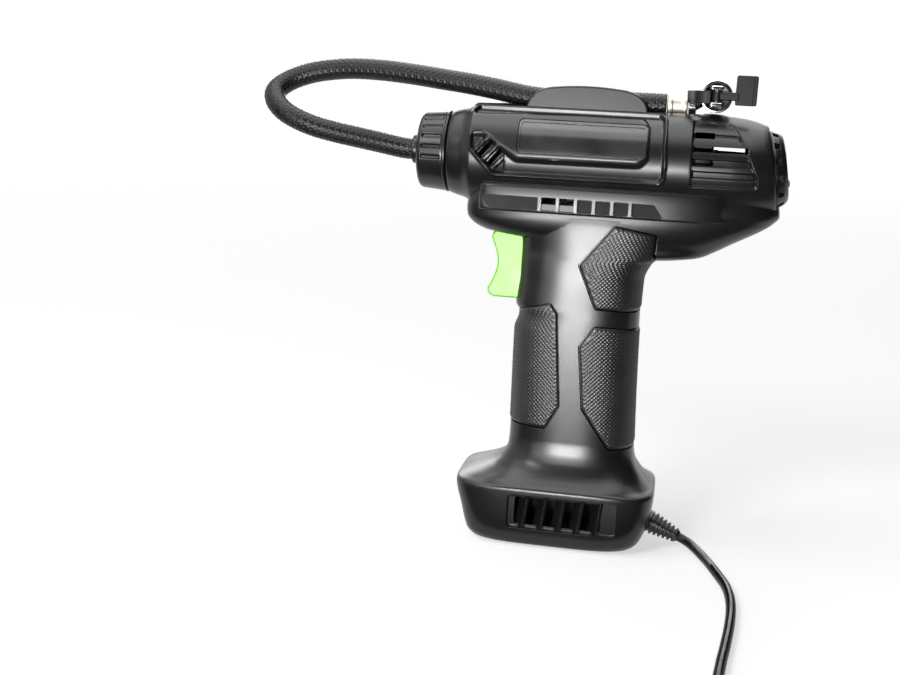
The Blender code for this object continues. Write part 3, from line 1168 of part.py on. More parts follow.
def make_cord():
    """The free cord, the coil that it ends in with its tie, and the tail to the plug."""
    coil = coil_points()
    start = coil[0]
    lead = ((start.x + 0.0008, start.y + 0.034, start.z - 0.0010), (start.x + 0.0002, start.y + 0.012, start.z),
            (start.x, start.y + 0.005, start.z), (start.x, start.y + 2 * GAP, start.z))
    free = smooth_route((*CORD_ROUTE, *lead), CORD_POINTS)
    finish(tube("cord", free, CORD_R, 2), "power_cord", RUBBER, CORD_ROUTE[0])

    end = coil[-1]
    entry = Vector((PLUG_X + GAP, PLUG_Y, PLUG_R + GAP))
    tail = smooth_route((end, end + Vector((-0.010, 0, 0)), end + Vector((-0.020, -0.002, -0.002)),
                         entry + Vector((0.012, 0, 0)), entry + Vector((0.005, 0, 0)), entry), 12)
    wound = coil + tail[1:]
    finish(tube("coil", wound, CORD_R, 1), "cord_coil", RUBBER, (COIL_X, COIL_Y, 0))
    print("cord length", round(length_of(free) + length_of(wound), 3), "m, least gap in the coil",
          round(self_gap(wound, CORD_R, COIL_LOOP_POINTS // 3) * 1000, 2), "mm")

    reach = (COIL_TURNS - 0.5 * (COIL_LAYERS - 1)) / COIL_LAYERS * COIL_PITCH / 2 + CORD_R + 3 * GAP
    low = (COIL_X - COIL_MIDDLE_R - reach, TIE_SHEET + GAP)
    high = (COIL_X - COIL_MIDDLE_R + reach, TIE_SHEET + 2 * CORD_R + COIL_STEP_UP * (COIL_LAYERS - 1) + 4 * GAP)
    wrap = oblong((low[0] - TIE_SHEET, GAP), (high[0] + TIE_SHEET, high[1] + TIE_SHEET), 0.0030)
    tie = prism("tie", wrap, "Y", COIL_Y - TIE_HALF, COIL_Y + TIE_HALF)
    cut(tie, prism("inside", oblong(low, high, 0.0022), "Y", COIL_Y - 0.02, COIL_Y + 0.02))
    finish(tie, "cord_tie", RUBBER)


def make_plug():
    """A car socket plug lying along -X, with a sprung tip and two sprung side contacts."""
    z = PLUG_R + GAP
    front = PLUG_BOOT + PLUG_GRIP + PLUG_BARREL
    profile = [(0, 0), (CORD_R + 0.0010, 0), (CORD_R + 0.0026, PLUG_BOOT - 0.001), (PLUG_R - 0.0020, PLUG_BOOT)]
    for rib in range(2):
        at = PLUG_BOOT + 0.0030 + rib * 0.0060
        profile += [(PLUG_R, at), (PLUG_R, at + 0.0024), (PLUG_R - 0.0007, at + 0.0028), (PLUG_R - 0.0007, at + 0.0036)]
    profile += [(PLUG_R, PLUG_BOOT + PLUG_GRIP - 0.0080), (PLUG_R, PLUG_BOOT + PLUG_GRIP - 0.0010),
                (PLUG_R - 0.0010, PLUG_BOOT + PLUG_GRIP), (PLUG_BARREL_R, PLUG_BOOT + PLUG_GRIP), (PLUG_BARREL_R, front),
                (PLUG_TIP_R + 0.0030, front), (PLUG_TIP_R + 0.0030, front - 0.0090), (0, front - 0.0090)]
    body = turned("plug", profile[::-1], (PLUG_X, PLUG_Y, z), (-1, 0, 0), 12)
    middle = PLUG_BOOT + PLUG_GRIP + 0.0110
    for side in (-1, 1):
        cut(body, block("bay", (PLUG_X - middle - 0.0060, PLUG_Y + side * 0.0082 - 0.0020, z - 0.0022),
                        (PLUG_X - middle + 0.0060, PLUG_Y + side * 0.0082 + 0.0020, z + 0.0022)))
    finish(body, "plug_body", BLACK_PLASTIC)

    for number, side in ((1, -1), (2, 1)):
        base = PLUG_BARREL_R - 0.0032 + PLUG_CONTACT_TRAVEL + GAP
        outline = ((-0.0055, base), (0.0055, base), (0.0055, PLUG_BARREL_R - 0.0002), (0.0030, PLUG_BARREL_R + 0.0012),
                   (-0.0030, PLUG_BARREL_R + 0.0012), (-0.0055, PLUG_BARREL_R - 0.0002))
        plan_points = [(PLUG_X - middle + x, PLUG_Y + side * y) for x, y in outline]
        contact = prism("contact", plan_points, "Z", z - 0.0018, z + 0.0018)
        finish(contact, f"plug_contact_{number}", CHROME, (PLUG_X - middle, PLUG_Y + side * base, z))

    ring_low, ring_high = front + GAP, front + PLUG_RING
    hole = PLUG_TIP_R + GAP
    profile = ((hole, ring_high), (PLUG_BARREL_R - 0.0026, ring_high), (PLUG_BARREL_R - 0.0008, ring_low + 0.0050),
               (PLUG_BARREL_R - 0.0002, ring_low + 0.0040), (PLUG_BARREL_R - 0.0002, ring_low), (hole, ring_low))
    finish(turned("ring", profile, (PLUG_X, PLUG_Y, z), (-1, 0, 0), 14), "plug_ring", BLACK_PLASTIC)

    shoulder = front - GAP
    out = ring_high + 0.0052
    profile = ((0, out), (PLUG_TIP_R - 0.0016, out), (PLUG_TIP_R, out - 0.0016), (PLUG_TIP_R, shoulder),
               (PLUG_TIP_R + 0.0024, shoulder), (PLUG_TIP_R + 0.0024, shoulder - 0.0030), (0, shoulder - 0.0030))
    tip = turned("tip", profile, (PLUG_X, PLUG_Y, z), (-1, 0, 0), 12)
    finish(tip, "plug_tip", CHROME, (PLUG_X - shoulder, PLUG_Y, z))


make_housing()
make_pad()
make_grips()
make_badge()
make_screws()
make_nose()
make_rear_cap()
make_clip()
make_hose()
make_chuck()
make_trigger()
make_drive()
make_relief()
make_cord()
make_plug()
bpy.data.collections.remove(CUTTERS)
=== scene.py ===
# %% [markdown]
# # A portable tire inflator
# A pistol-shaped pump for car tires: a round barrel with the motor and the piston pump in it, a handle
# with rubber grips, a lime trigger, a braided air hose that loops back over the barrel, and a power cord.
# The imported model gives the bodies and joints. This lesson dresses it, piece by piece.

# %% Load the frame
import json
import math
import bpy
import numpy as np
from mathutils import Matrix, Vector

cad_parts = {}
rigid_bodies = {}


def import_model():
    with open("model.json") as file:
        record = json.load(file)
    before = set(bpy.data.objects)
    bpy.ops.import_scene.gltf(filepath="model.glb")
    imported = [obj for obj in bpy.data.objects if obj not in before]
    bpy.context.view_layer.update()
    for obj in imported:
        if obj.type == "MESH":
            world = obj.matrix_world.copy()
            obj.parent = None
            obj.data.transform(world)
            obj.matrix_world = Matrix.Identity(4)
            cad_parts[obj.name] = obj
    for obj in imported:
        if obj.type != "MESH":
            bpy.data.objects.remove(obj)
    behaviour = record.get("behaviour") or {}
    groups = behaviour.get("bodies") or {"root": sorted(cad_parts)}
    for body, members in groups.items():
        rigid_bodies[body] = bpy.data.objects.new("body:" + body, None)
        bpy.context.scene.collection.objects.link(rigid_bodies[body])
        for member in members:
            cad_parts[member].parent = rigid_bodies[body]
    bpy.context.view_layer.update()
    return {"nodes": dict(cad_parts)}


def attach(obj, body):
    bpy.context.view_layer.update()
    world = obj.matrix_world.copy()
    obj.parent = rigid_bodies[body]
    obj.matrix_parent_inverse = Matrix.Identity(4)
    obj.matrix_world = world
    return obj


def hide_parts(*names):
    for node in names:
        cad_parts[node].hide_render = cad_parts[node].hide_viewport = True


for startup in list(bpy.data.objects):
    bpy.data.objects.remove(startup)
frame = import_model()

# %% [markdown]
# ## Measures
# All lengths are in metres, and a table inside mm() is in millimetres. The nose points to -X, the gauge
# to +X, and the badge faces the viewer at -Y. The same sections and routes as in the solid model are
# used, drawn here with many more points.

# %% Measures of the body
CLEAR = 0.0003
WALL = 0.0022
BARREL_Z = 0.1695
BARREL_R = 0.0220
NOSE_X = -0.0605
NOSE_R = 0.0175
REAR_X = 0.0800
REAR_R = 0.0184
REAR_TILT = math.radians(10)
AXIS = (0, 0, BARREL_Z)
ALONG, ACROSS, UP = (1, 0, 0), (0, 1, 0), (0, 0, 1)


def mm(table):
    """A table in millimetres, turned into metres."""
    return tuple(mm(row) if isinstance(row, tuple) else round(row / 1000, 8) for row in table)


HANDLE = ((0.0003, -0.0360, 0.0330, 0.0235, 4.0), (0.0014, -0.0386, 0.0358, 0.0260, 4.2),
          (0.0050, -0.0404, 0.0384, 0.0275, 5.0), (0.0140, -0.0428, 0.0414, 0.0280, 5.2),
          (0.0252, -0.0455, 0.0427, 0.0282, 5.2), (0.0264, -0.0454, 0.0424, 0.0281, 5.0),
          (0.0272, -0.0447, 0.0414, 0.0276, 4.7), (0.0279, -0.0432, 0.0402, 0.0268, 4.3),
          (0.0292, -0.0402, 0.0388, 0.0256, 3.9), (0.0312, -0.0352, 0.0370, 0.0239, 3.5),
          (0.0340, -0.0295, 0.0350, 0.0221, 3.2), (0.0375, -0.0256, 0.0330, 0.0206, 3.0),
          (0.0420, -0.0242, 0.0320, 0.0196, 2.8), (0.0470, -0.0240, 0.0316, 0.0191, 2.7),
          (0.0940, -0.0245, 0.0300, 0.0188, 2.7), (0.1010, -0.0226, 0.0299, 0.0188, 2.8),
          (0.1060, -0.0248, 0.0298, 0.0188, 2.9), (0.1186, -0.0238, 0.0301, 0.0189, 2.9),
          (0.1267, -0.0238, 0.0333, 0.0189, 2.9), (0.1288, -0.0238, 0.0370, 0.0189, 2.9),
          (0.1360, -0.0242, 0.0395, 0.0191, 3.0), (0.1420, -0.0250, 0.0415, 0.0194, 3.2),
          (0.1450, -0.0254, 0.0420, 0.0197, 3.4))
HULL = (
    (0.1286, -0.0080, 0.0430, 0.0120, 3.0), (0.1304, -0.0140, 0.0535, 0.0150, 3.0),
    (0.1335, -0.0200, 0.0600, 0.0155, 3.0), (0.1372, -0.0408, 0.0665, 0.0178, 3.6),
    (0.1406, -0.0463, 0.0728, 0.0189, 4.5), (0.1435, -0.0481, 0.0780, 0.0194, 5.0),
    (0.1465, -0.0484, 0.0822, 0.0197, 5.0), (0.1500, -0.0480, 0.0850, 0.0202, 5.0),
    (0.1580, -0.0460, 0.0838, 0.0192, 5.0),
)
LEDGE = mm(((146.4, 20.6), (146.6, 21.6), (147, 22.2), (147.6, 22.4), (153.4, 22.4), (156.7, 22.35),
            (157.5, 22), (158, 21.2), (158.3, 19.2)))
LEDGE_FRONT, LEDGE_BACK = -0.0418, 0.0720
print("handle", HANDLE[-1][0], "m tall, barrel", 2 * BARREL_R, "m across")

# %% [markdown]
# ## Bench tools
# Every piece starts as a primitive. A grid rolls up into a body whose rows are sections, a circle takes
# an outline and is extruded, and a profile is spun like work on a lathe. Modifiers then cut, join and
# round.

# %% Selecting
SAME_PLACE = 1e-6


def let_go():
    """Leaves edit mode and deselects everything."""
    if bpy.context.object and bpy.context.object.mode != "OBJECT":
        bpy.ops.object.mode_set(mode="OBJECT")
    bpy.ops.object.select_all(action="DESELECT")


def hold(obj):
    """Makes a piece the only one selected, and the active one."""
    let_go()
    obj.select_set(True)
    bpy.context.view_layer.objects.active = obj
    return obj


def edit_all():
    """Enters edit mode with everything selected."""
    bpy.ops.object.mode_set(mode="EDIT")
    bpy.ops.mesh.select_all(action="SELECT")


def fresh(name):
    """The primitive that was just added, with its own name."""
    body = bpy.context.object
    body.name = name
    return body


def tidy(obj):
    """Merges doubles and turns every face outwards."""
    hold(obj)
    edit_all()
    bpy.ops.mesh.remove_doubles(threshold=SAME_PLACE)
    bpy.ops.mesh.normals_make_consistent(inside=False)
    bpy.ops.object.mode_set(mode="OBJECT")
    return obj


# %% Making bodies
def rolled(name, rings):
    """Rolls a grid of faces into a closed body, each row of the grid being one section."""
    let_go()
    around = len(rings[0])
    bpy.ops.mesh.primitive_grid_add(x_subdivisions=around, y_subdivisions=len(rings) - 1, size=1)
    body = fresh(name)
    points = [ring[i % around] for ring in rings for i in range(around + 1)]
    body.data.vertices.foreach_set("co", np.array(points, float).ravel())
    edit_all()
    bpy.ops.mesh.remove_doubles(threshold=SAME_PLACE)
    bpy.ops.mesh.fill_holes(sides=0)
    return tidy(body)


def drawn(name, outline, axis, low, high):
    """An outline drawn as a filled circle's edge and extruded along an axis."""
    let_go()
    bpy.ops.mesh.primitive_circle_add(vertices=len(outline), radius=1, fill_type="NGON")
    body = fresh(name)
    spot = "XYZ".index(axis)
    for vertex, place in zip(body.data.vertices, outline):
        vertex.co = (*place[:spot], low, *place[spot:])
    away = [(high - low) if axis == letter else 0.0 for letter in "XYZ"]
    edit_all()
    bpy.ops.mesh.extrude_region_move(TRANSFORM_OT_translate={"value": away})
    return tidy(body)


def spun(name, profile, middle, axis, steps=72):
    """A profile of radius and place along the axis, spun all the way round."""
    let_go()
    bpy.ops.mesh.primitive_circle_add(vertices=len(profile), radius=1)
    body = fresh(name)
    for vertex, (radius, along) in zip(body.data.vertices, profile):
        vertex.co = (radius, 0, along)
    edit_all()
    bpy.ops.mesh.spin(steps=steps, angle=2 * math.pi, center=(0, 0, 0), axis=(0, 0, 1))
    tidy(body)
    turn = Vector((0, 0, 1)).rotation_difference(Vector(axis)).to_matrix().to_4x4()
    body.data.transform(Matrix.Translation(Vector(middle)) @ turn)
    return body


def bar(name, low, high, turn=None):
    """A block between two corners, turned about its middle."""
    let_go()
    middle = (Vector(low) + Vector(high)) / 2
    size = Vector(high) - Vector(low)
    bpy.ops.mesh.primitive_cube_add(size=1)
    body = fresh(name)
    body.data.transform(Matrix.Translation(middle) @ (turn or Matrix()) @ Matrix.Diagonal((*size, 1)))
    return body


def rod(name, radius, low, high, middle, axis, steps=72):
    """A plain round bar along an axis, mostly used as a drill."""
    return spun(name, ((0, low), (radius, low), (radius, high), (0, high)), middle, axis, steps)


def strung(name, points, radius, sides):
    """A round cord along a route, drawn as a curve with a bevel."""
    curve = bpy.data.curves.new(name, "CURVE")
    curve.dimensions = "3D"
    curve.bevel_depth = radius
    curve.bevel_resolution = sides
    curve.use_fill_caps = True
    spline = curve.splines.new("POLY")
    spline.points.add(len(points) - 1)
    for point, place in zip(spline.points, points):
        point.co = (*place, 1)
    strand = bpy.data.objects.new(name, curve)
    bpy.context.scene.collection.objects.link(strand)
    return strand


def swept(name, points, radius, sides):
    """A cord made into a mesh, to cut a way for the real one."""
    hold(strung(name, points, radius, sides))
    bpy.ops.object.convert(target="MESH")
    return tidy(bpy.context.object)


# %% Shaping bodies
def shaped(body, tool, how):
    """One Boolean step, after which the tool is put away."""
    hold(body)
    step = body.modifiers.new(how, "BOOLEAN")
    step.operation = how
    step.solver = "EXACT"
    step.object = tool
    bpy.ops.object.modifier_apply(modifier=step.name)
    bpy.data.objects.remove(tool)
    return body


def cut(body, *tools):
    for tool in tools:
        shaped(body, tool, "DIFFERENCE")
    return body


def join(body, *tools):
    for tool in tools:
        shaped(body, tool, "UNION")
    return body


def softened(body, width, segments=3, angle=35):
    """Rounds the sharp edges with a bevel."""
    hold(body)
    step = body.modifiers.new("round", "BEVEL")
    step.width = width
    step.segments = segments
    step.limit_method = "ANGLE"
    step.angle_limit = math.radians(angle)
    bpy.ops.object.modifier_apply(modifier=step.name)
    return body


def copied(body, name, flip=False):
    """A copy with its own mesh, on the other side of the middle plane if it is flipped."""
    hold(body)
    bpy.ops.object.duplicate()
    twin = bpy.context.object
    twin.name = name
    if flip:
        twin.data.transform(Matrix.Scale(-1, 4, (0, 1, 0)))
        twin.data.flip_normals()
    return twin


def merged(name, tools):
    """Tools that don't touch, as one."""
    let_go()
    for tool in tools:
        tool.select_set(True)
    bpy.context.view_layer.objects.active = tools[0]
    bpy.ops.object.join()
    tools[0].name = name
    return tools[0]


# %% Drawing lines
ARC_STEPS = 6
ROUTE_STEPS = 24


def rounded(outline, radius):
    """An outline with its corners drawn as arcs."""
    points = []
    for i, place in enumerate(outline):
        corner = Vector(place)
        before = Vector(outline[i - 1]) - corner
        after = Vector(outline[(i + 1) % len(outline)]) - corner
        reach = min(radius / math.tan(before.angle(after) / 2), before.length * 0.45, after.length * 0.45)
        start = corner + before.normalized() * reach
        end = corner + after.normalized() * reach
        for step in range(ARC_STEPS + 1):
            t = step / ARC_STEPS
            points.append(start.lerp(corner, t).lerp(corner.lerp(end, t), t))
    return points


def oblong(low, high, radius):
    """A rectangle with round corners."""
    return rounded((low, (high[0], low[1]), high, (low[0], high[1])), radius)


def smooth_route(points, count):
    """Evenly spaced points on a smooth curve through the given ones."""
    points = [Vector(point) for point in points]
    ends = [points[0] * 2 - points[1], *points, points[-1] * 2 - points[-2]]
    dense = []
    for a, b, c, d in zip(ends, ends[1:], ends[2:], ends[3:]):
        for step in range(ROUTE_STEPS):
            t = step / ROUTE_STEPS
            bend = (2 * a - 5 * b + 4 * c - d) * t**2 + (3 * b - a - 3 * c + d) * t**3
            dense.append(0.5 * (2 * b + (c - a) * t + bend))
    dense.append(points[-1])
    steps = [(b - a).length for a, b in zip(dense, dense[1:])]
    along = np.concatenate([[0.0], np.cumsum(steps)])
    wanted = np.linspace(0, along[-1], count)
    columns = [np.interp(wanted, along, [point[i] for point in dense]) for i in range(3)]
    return [Vector(place) for place in zip(*columns)]


def length_of(points):
    return sum((b - a).length for a, b in zip(points, points[1:]))


def eased(knots, values, at):
    """A curve through the values that never swings past them."""
    knots, values, at = np.asarray(knots), np.asarray(values), np.asarray(at)
    gaps = np.diff(knots)
    slopes = np.diff(values) / gaps
    both = slopes[1:] + slopes[:-1]
    inner = np.where(slopes[1:] * slopes[:-1] > 0,
                     2 * slopes[1:] * slopes[:-1] / np.where(both == 0, 1, both), 0)
    lean = np.concatenate([[slopes[0]], inner, [slopes[-1]]])
    i = np.clip(np.searchsorted(knots, at, side="right") - 1, 0, len(gaps) - 1)
    t = (at - knots[i]) / gaps[i]
    rise = values[i] * (1 + 2 * t) * (1 - t) ** 2 + values[i + 1] * t**2 * (3 - 2 * t)
    return rise + gaps[i] * (lean[i] * t * (1 - t) ** 2 - lean[i + 1] * t**2 * (1 - t))


# %% [markdown]
# ## Finishes
# The housing is black moulded plastic with a fine spark texture, which breaks up highlights. The texture
# is noise on Object coordinates, so it stays with the piece. A second, larger noise varies the gloss and
# shade a little, as handling does. A Bevel node softens the moulded edges that are too fine to model.

# %% A finish maker
def settle(node, **values):
    """Sets sockets by name, with _ for each space."""
    for socket, value in values.items():
        node.inputs[socket.replace("_", " ")].default_value = value


def finish(name, dark, light, gloss, metal=0.0, grain=2600, depth=0.00002, edge=0.0002, coat=0.0,
           glint=0.5):
    """A material with two shades, a range of roughness and a fine grain."""
    made = bpy.data.materials.new(name)
    made.use_nodes = True
    nodes, links = made.node_tree.nodes, made.node_tree.links
    skin = nodes["Principled BSDF"]
    settle(skin, Metallic=metal, Specular_IOR_Level=glint, Coat_Weight=coat, Coat_Roughness=0.12)
    place = nodes.new("ShaderNodeTexCoord").outputs["Object"]

    cloud = nodes.new("ShaderNodeTexNoise")
    settle(cloud, Scale=90, Detail=5)
    links.new(place, cloud.inputs["Vector"])
    shade = nodes.new("ShaderNodeValToRGB")
    shade.color_ramp.elements[0].position = 0.35
    shade.color_ramp.elements[1].position = 0.70
    shade.color_ramp.elements[0].color = (*dark, 1)
    shade.color_ramp.elements[1].color = (*light, 1)
    links.new(cloud.outputs["Fac"], shade.inputs["Fac"])
    links.new(shade.outputs["Color"], skin.inputs["Base Color"])
    shine = nodes.new("ShaderNodeMapRange")
    settle(shine, From_Min=0.3, From_Max=0.7, To_Min=gloss[0], To_Max=gloss[1])
    links.new(cloud.outputs["Fac"], shine.inputs["Value"])
    links.new(shine.outputs["Result"], skin.inputs["Roughness"])

    speck = nodes.new("ShaderNodeTexNoise")
    settle(speck, Scale=grain, Detail=2)
    links.new(place, speck.inputs["Vector"])
    bump = nodes.new("ShaderNodeBump")
    settle(bump, Strength=0.6, Distance=depth)
    links.new(speck.outputs["Fac"], bump.inputs["Height"])
    if edge:
        soft = nodes.new("ShaderNodeBevel")
        soft.samples = 4
        settle(soft, Radius=edge)
        links.new(soft.outputs["Normal"], bump.inputs["Normal"])
    links.new(bump.outputs["Normal"], skin.inputs["Normal"])
    return made


BLACK = finish("black moulded plastic", (0.007, 0.007, 0.008), (0.011, 0.011, 0.012), (0.29, 0.31),
               edge=0.0003, glint=0.42)
RUBBER = finish("grip rubber", (0.008, 0.008, 0.009), (0.014, 0.014, 0.015), (0.34, 0.40), grain=1800,
                glint=0.65)
LIME = finish("lime plastic", (0.20, 0.66, 0.006), (0.25, 0.72, 0.010), (0.30, 0.36), grain=1500,
              depth=0.000006, glint=0.4)
STEEL = finish("plated steel", (0.42, 0.42, 0.43), (0.55, 0.55, 0.56), (0.25, 0.38), 1.0, 900, 0.00001)
CHROME = finish("bright chrome", (0.70, 0.70, 0.71), (0.80, 0.80, 0.80), (0.06, 0.14), 1.0, 700, 0.000004)
# Dark metal. On the chuck's face its darkness is a painted reflection of dark surroundings; on the motor's
# can it is painted shade in the vent slits.
SHADE_AND_REFLECTION_METAL = finish("dark chrome, painted shade and reflection", (0.030, 0.030, 0.032), (0.050, 0.050, 0.052), (0.12, 0.22), 1.0, 700,
                0.000004)
CHAMPAGNE = finish("champagne nickel", (0.56, 0.51, 0.42), (0.66, 0.60, 0.51), (0.36, 0.46), 1.0, 900,
                   0.000006)
ALUMINIUM = finish("cast aluminium", (0.50, 0.50, 0.50), (0.66, 0.65, 0.64), (0.38, 0.52), 1.0, 1200,
                   0.00003)
BRASS = finish("brass", (0.55, 0.36, 0.12), (0.68, 0.47, 0.18), (0.25, 0.38), 1.0, 900, 0.00001)
NYLON = finish("natural nylon", (0.62, 0.60, 0.54), (0.74, 0.72, 0.66), (0.40, 0.52), grain=1200)
BOARD = finish("circuit board", (0.010, 0.09, 0.035), (0.020, 0.14, 0.055), (0.30, 0.45), grain=900)
GLASS = finish("smoked window", (0.004, 0.004, 0.005), (0.007, 0.007, 0.008), (0.05, 0.09), grain=300,
               depth=0.000002)
PLAQUE = finish("graphite plaque", (0.022, 0.022, 0.023), (0.040, 0.040, 0.042), (0.18, 0.26), grain=2200,
                depth=0.000005, coat=0.4)
BRAID = finish("braided nylon", (0.004, 0.004, 0.005), (0.011, 0.011, 0.012), (0.34, 0.46), grain=4000,
               edge=0, glint=0.3)
CORD = finish("cord sheath", (0.006, 0.006, 0.007), (0.010, 0.010, 0.011), (0.38, 0.50), grain=2400,
              glint=0.25)
print("finishes", len(bpy.data.materials))


def dress(obj, look, slot, *nodes, body="inflator", angle=38):
    """Gives a finished piece its finish, its body, and the CAD nodes that it stands for."""
    hold(obj)
    obj.data.materials.clear()
    obj.data.materials.append(look)
    bpy.ops.object.shade_smooth_by_angle(angle=math.radians(angle))
    even = obj.modifiers.new("even shading", "WEIGHTED_NORMAL")
    even.keep_sharp = True
    bpy.ops.object.modifier_apply(modifier=even.name)
    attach(obj, body)
    if nodes:
        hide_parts(*nodes)
    return obj


# %% [markdown]
# ## Camera
# The photograph was taken from a little above and to the right of the barrel's middle, with the camera
# held slightly askew. A 50 mm lens from about half a metre gives the same foreshortening along the base.

# %% Camera
CAMERA_AT = (0.0425, -0.5490, 0.1920)
LENS_MM, SENSOR_MM = 50, 36
TURN, TILT, ROLL = math.radians(10), math.radians(10.8), math.radians(3)
look = Vector((-math.sin(TURN) * math.cos(TILT), math.cos(TURN) * math.cos(TILT), -math.sin(TILT)))
flat = look.cross(UP).normalized()
upright = flat.cross(look)
right = flat * math.cos(ROLL) + upright * math.sin(ROLL)
above = upright * math.cos(ROLL) - flat * math.sin(ROLL)
lens = bpy.data.cameras.new("camera")
lens.lens = LENS_MM
lens.sensor_width = SENSOR_MM
camera = bpy.data.objects.new("camera", lens)
facing = Matrix((right, above, -look)).transposed().to_4x4()
camera.matrix_world = Matrix.Translation(CAMERA_AT) @ facing
bpy.context.scene.collection.objects.link(camera)
bpy.context.scene.camera = camera
print("camera at", tuple(round(c, 3) for c in camera.location))

# %% [markdown]
# ## Air hose
# A rubber hose in a braided nylon sleeve leaves the nose, loops back above the barrel and ends in a
# crimped ferrule. It is a tube of many rings along the route, and its surface rises where one bundle of
# threads crosses over the other, so that the weave is real relief.

# %% Air hose
HOSE_R = 0.00475
HOSE_Z = BARREL_Z + BARREL_R + 0.0027
HOSE_ROUTE = mm(((-71.2, 0, 169.5), (-79, 0, 169.5), (-90.6, -2, 171.5), (-100, -4.5, 173.2),
                 (-109.2, -6.8, 174.9), (-118, -8.5, 176.9), (-126.2, -9, 179.7), (-133.5, -7.8, 183.4),
                 (-138.4, -4.2, 188), (-139.2, 0.8, 192.2), (-134.5, 5.8, 196.6), (-126.5, 8.4, 200),
                 (-117, 9, 202), (-105.7, 8.2, 203.1), (-92, 6.6, 202.9), (-78.4, 5, 201.9),
                 (-64.8, 3.4, 200.4), (-51.4, 2, 198.9), (-38.5, 0.8, 197), (-27, 0.1, 195),
                 (-17, 0, 194.2), (5, 0, 194.2), (34, 0, 194.2)))
HOSE_RINGS, HOSE_SIDES = 620, 72
STRANDS = 20
PLAIT_PITCH, PLAIT_DEPTH = 0.030, 0.00042


def weave(along, angle):
    """Height of the sleeve: two sets of threads wind opposite ways and pass over and under by turns."""
    left = STRANDS / 2 * (angle / math.pi + along * 2 / PLAIT_PITCH) / 2
    right = STRANDS / 2 * (angle / math.pi - along * 2 / PLAIT_PITCH) / 2
    over = 0.5 + 0.5 * np.sin(math.pi * (left + right)) * np.sin(math.pi * (left - right) + math.pi / 2)
    ridge_left = np.abs(np.sin(math.pi * left))
    ridge_right = np.abs(np.sin(math.pi * right))
    return np.maximum(ridge_left * over, ridge_right * (1 - over))


hose_path = smooth_route(HOSE_ROUTE, HOSE_RINGS)
hose_length = length_of(hose_path)
rings = []
side = Vector((0, 1, 0))
turns = np.linspace(0, 2 * math.pi, HOSE_SIDES, endpoint=False)
for i, place in enumerate(hose_path):
    ahead = (hose_path[min(i + 1, len(hose_path) - 1)] - hose_path[max(i - 1, 0)]).normalized()
    side = (side - ahead * side.dot(ahead)).normalized()
    over = ahead.cross(side)
    reach = HOSE_R - PLAIT_DEPTH + PLAIT_DEPTH * weave(hose_length * i / (len(hose_path) - 1), turns)
    rings.append([place + (side * math.cos(a) + over * math.sin(a)) * r for a, r in zip(turns, reach)])
hose = rolled("air_hose_sleeve", rings)
dress(hose, BRAID, "braid", "air_hose", angle=80)
print("hose", round(hose_length, 3), "m")

# %% [markdown]
# ## Power cord
# The cord leaves the base through its strain relief, runs forward over the table, and its rest lies
# beside the tool in a tied coil, as it comes out of the box. It is one curve from end to end, round and
# as thick as the real sheath, so its length is the length of that curve.

# %% Power cord
CORD_R = 0.0020
RELIEF_ROOT = Vector((0.0339, 0.0007, 0.0124))
RELIEF_END = Vector((0.0548, -0.0036, 0.0046))
CORD_ROUTE = mm(((54.8, -3.6, 4.6), (55.9, -3.9, 4.2), (58.2, -4.9, 3.5), (60.8, -8, 2.8), (64, -15, 2.3),
                 (67.6, -25, 2.1), (71.2, -38, 2.1), (74.4, -51, 2.1), (75.8, -64, 2.1), (75.7, -78, 2.1),
                 (74.5, -94, 2.1), (72.5, -112, 2.1), (70.4, -129, 2.1), (69, -146, 2.2)))
COIL = Vector((0.0335, -0.2250, 0))
COIL_TURNS, COIL_LAYERS, COIL_MIDDLE_R = 16.25, 4, 0.0240
COIL_PITCH, COIL_STEP_UP = 0.0050, 0.0048
COIL_POINTS, CLIMB_TURNS = 36, 0.5
LAYER_TURNS = (COIL_TURNS - CLIMB_TURNS * (COIL_LAYERS - 1)) / COIL_LAYERS
TIE_SHEET = 0.0008
PLUG_AT = Vector((-0.0120, -0.2680, 0.0109))


def coil_route():
    """Piled loops that spiral in and out by turns."""
    widest = COIL_MIDDLE_R + LAYER_TURNS * COIL_PITCH / 2
    points = []
    for step in range(round(COIL_TURNS * COIL_POINTS) + 1):
        turns = step / COIL_POINTS
        layer = min(int(turns / (LAYER_TURNS + CLIMB_TURNS)), COIL_LAYERS - 1)
        into = turns - layer * (LAYER_TURNS + CLIMB_TURNS)
        climb = max(0.0, into - LAYER_TURNS) / CLIMB_TURNS
        inward = COIL_PITCH * min(into, LAYER_TURNS)
        radius = widest - (inward if layer % 2 == 0 else LAYER_TURNS * COIL_PITCH - inward)
        angle = -2 * math.pi * turns
        height = CORD_R + TIE_SHEET + 2 * CLEAR + COIL_STEP_UP * (layer + climb)
        points.append(COIL + Vector((radius * math.cos(angle), radius * math.sin(angle), height)))
    return points


wound = coil_route()
lead = [wound[0] + Vector(step) for step in ((0.0008, 0.034, -0.001), (0.0002, 0.012, 0), (0, 0.005, 0))]
tail = [wound[-1] + Vector(step) for step in ((-0.010, 0, 0), (-0.020, -0.002, -0.002))]
tail += [PLUG_AT + Vector((step, 0, 0)) for step in (0.012, 0.005, -0.004)]
cord_path = smooth_route((*CORD_ROUTE, *lead), 90) + wound + smooth_route((wound[-1], *tail), 40)[1:]
let_go()
cord = strung("power_cord_sheath", cord_path, CORD_R, 6)
cord.data.materials.append(CORD)
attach(cord, "inflator")
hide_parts("power_cord", "cord_coil")

# %% [markdown]
# ## Housing
# The body is moulded in two halves that meet on the middle plane. The barrel's side carries a raised bead
# round a sunk channel, a level platform for the badge, slanted bars at the front and a sunk vent at the
# back. All of this is soft-edged moulding, so the barrel is a fine grid that is pushed in and out by a
# height, worked out from the distance to each outline on the unrolled barrel. Cutting it with blocks
# would leave hard edges.

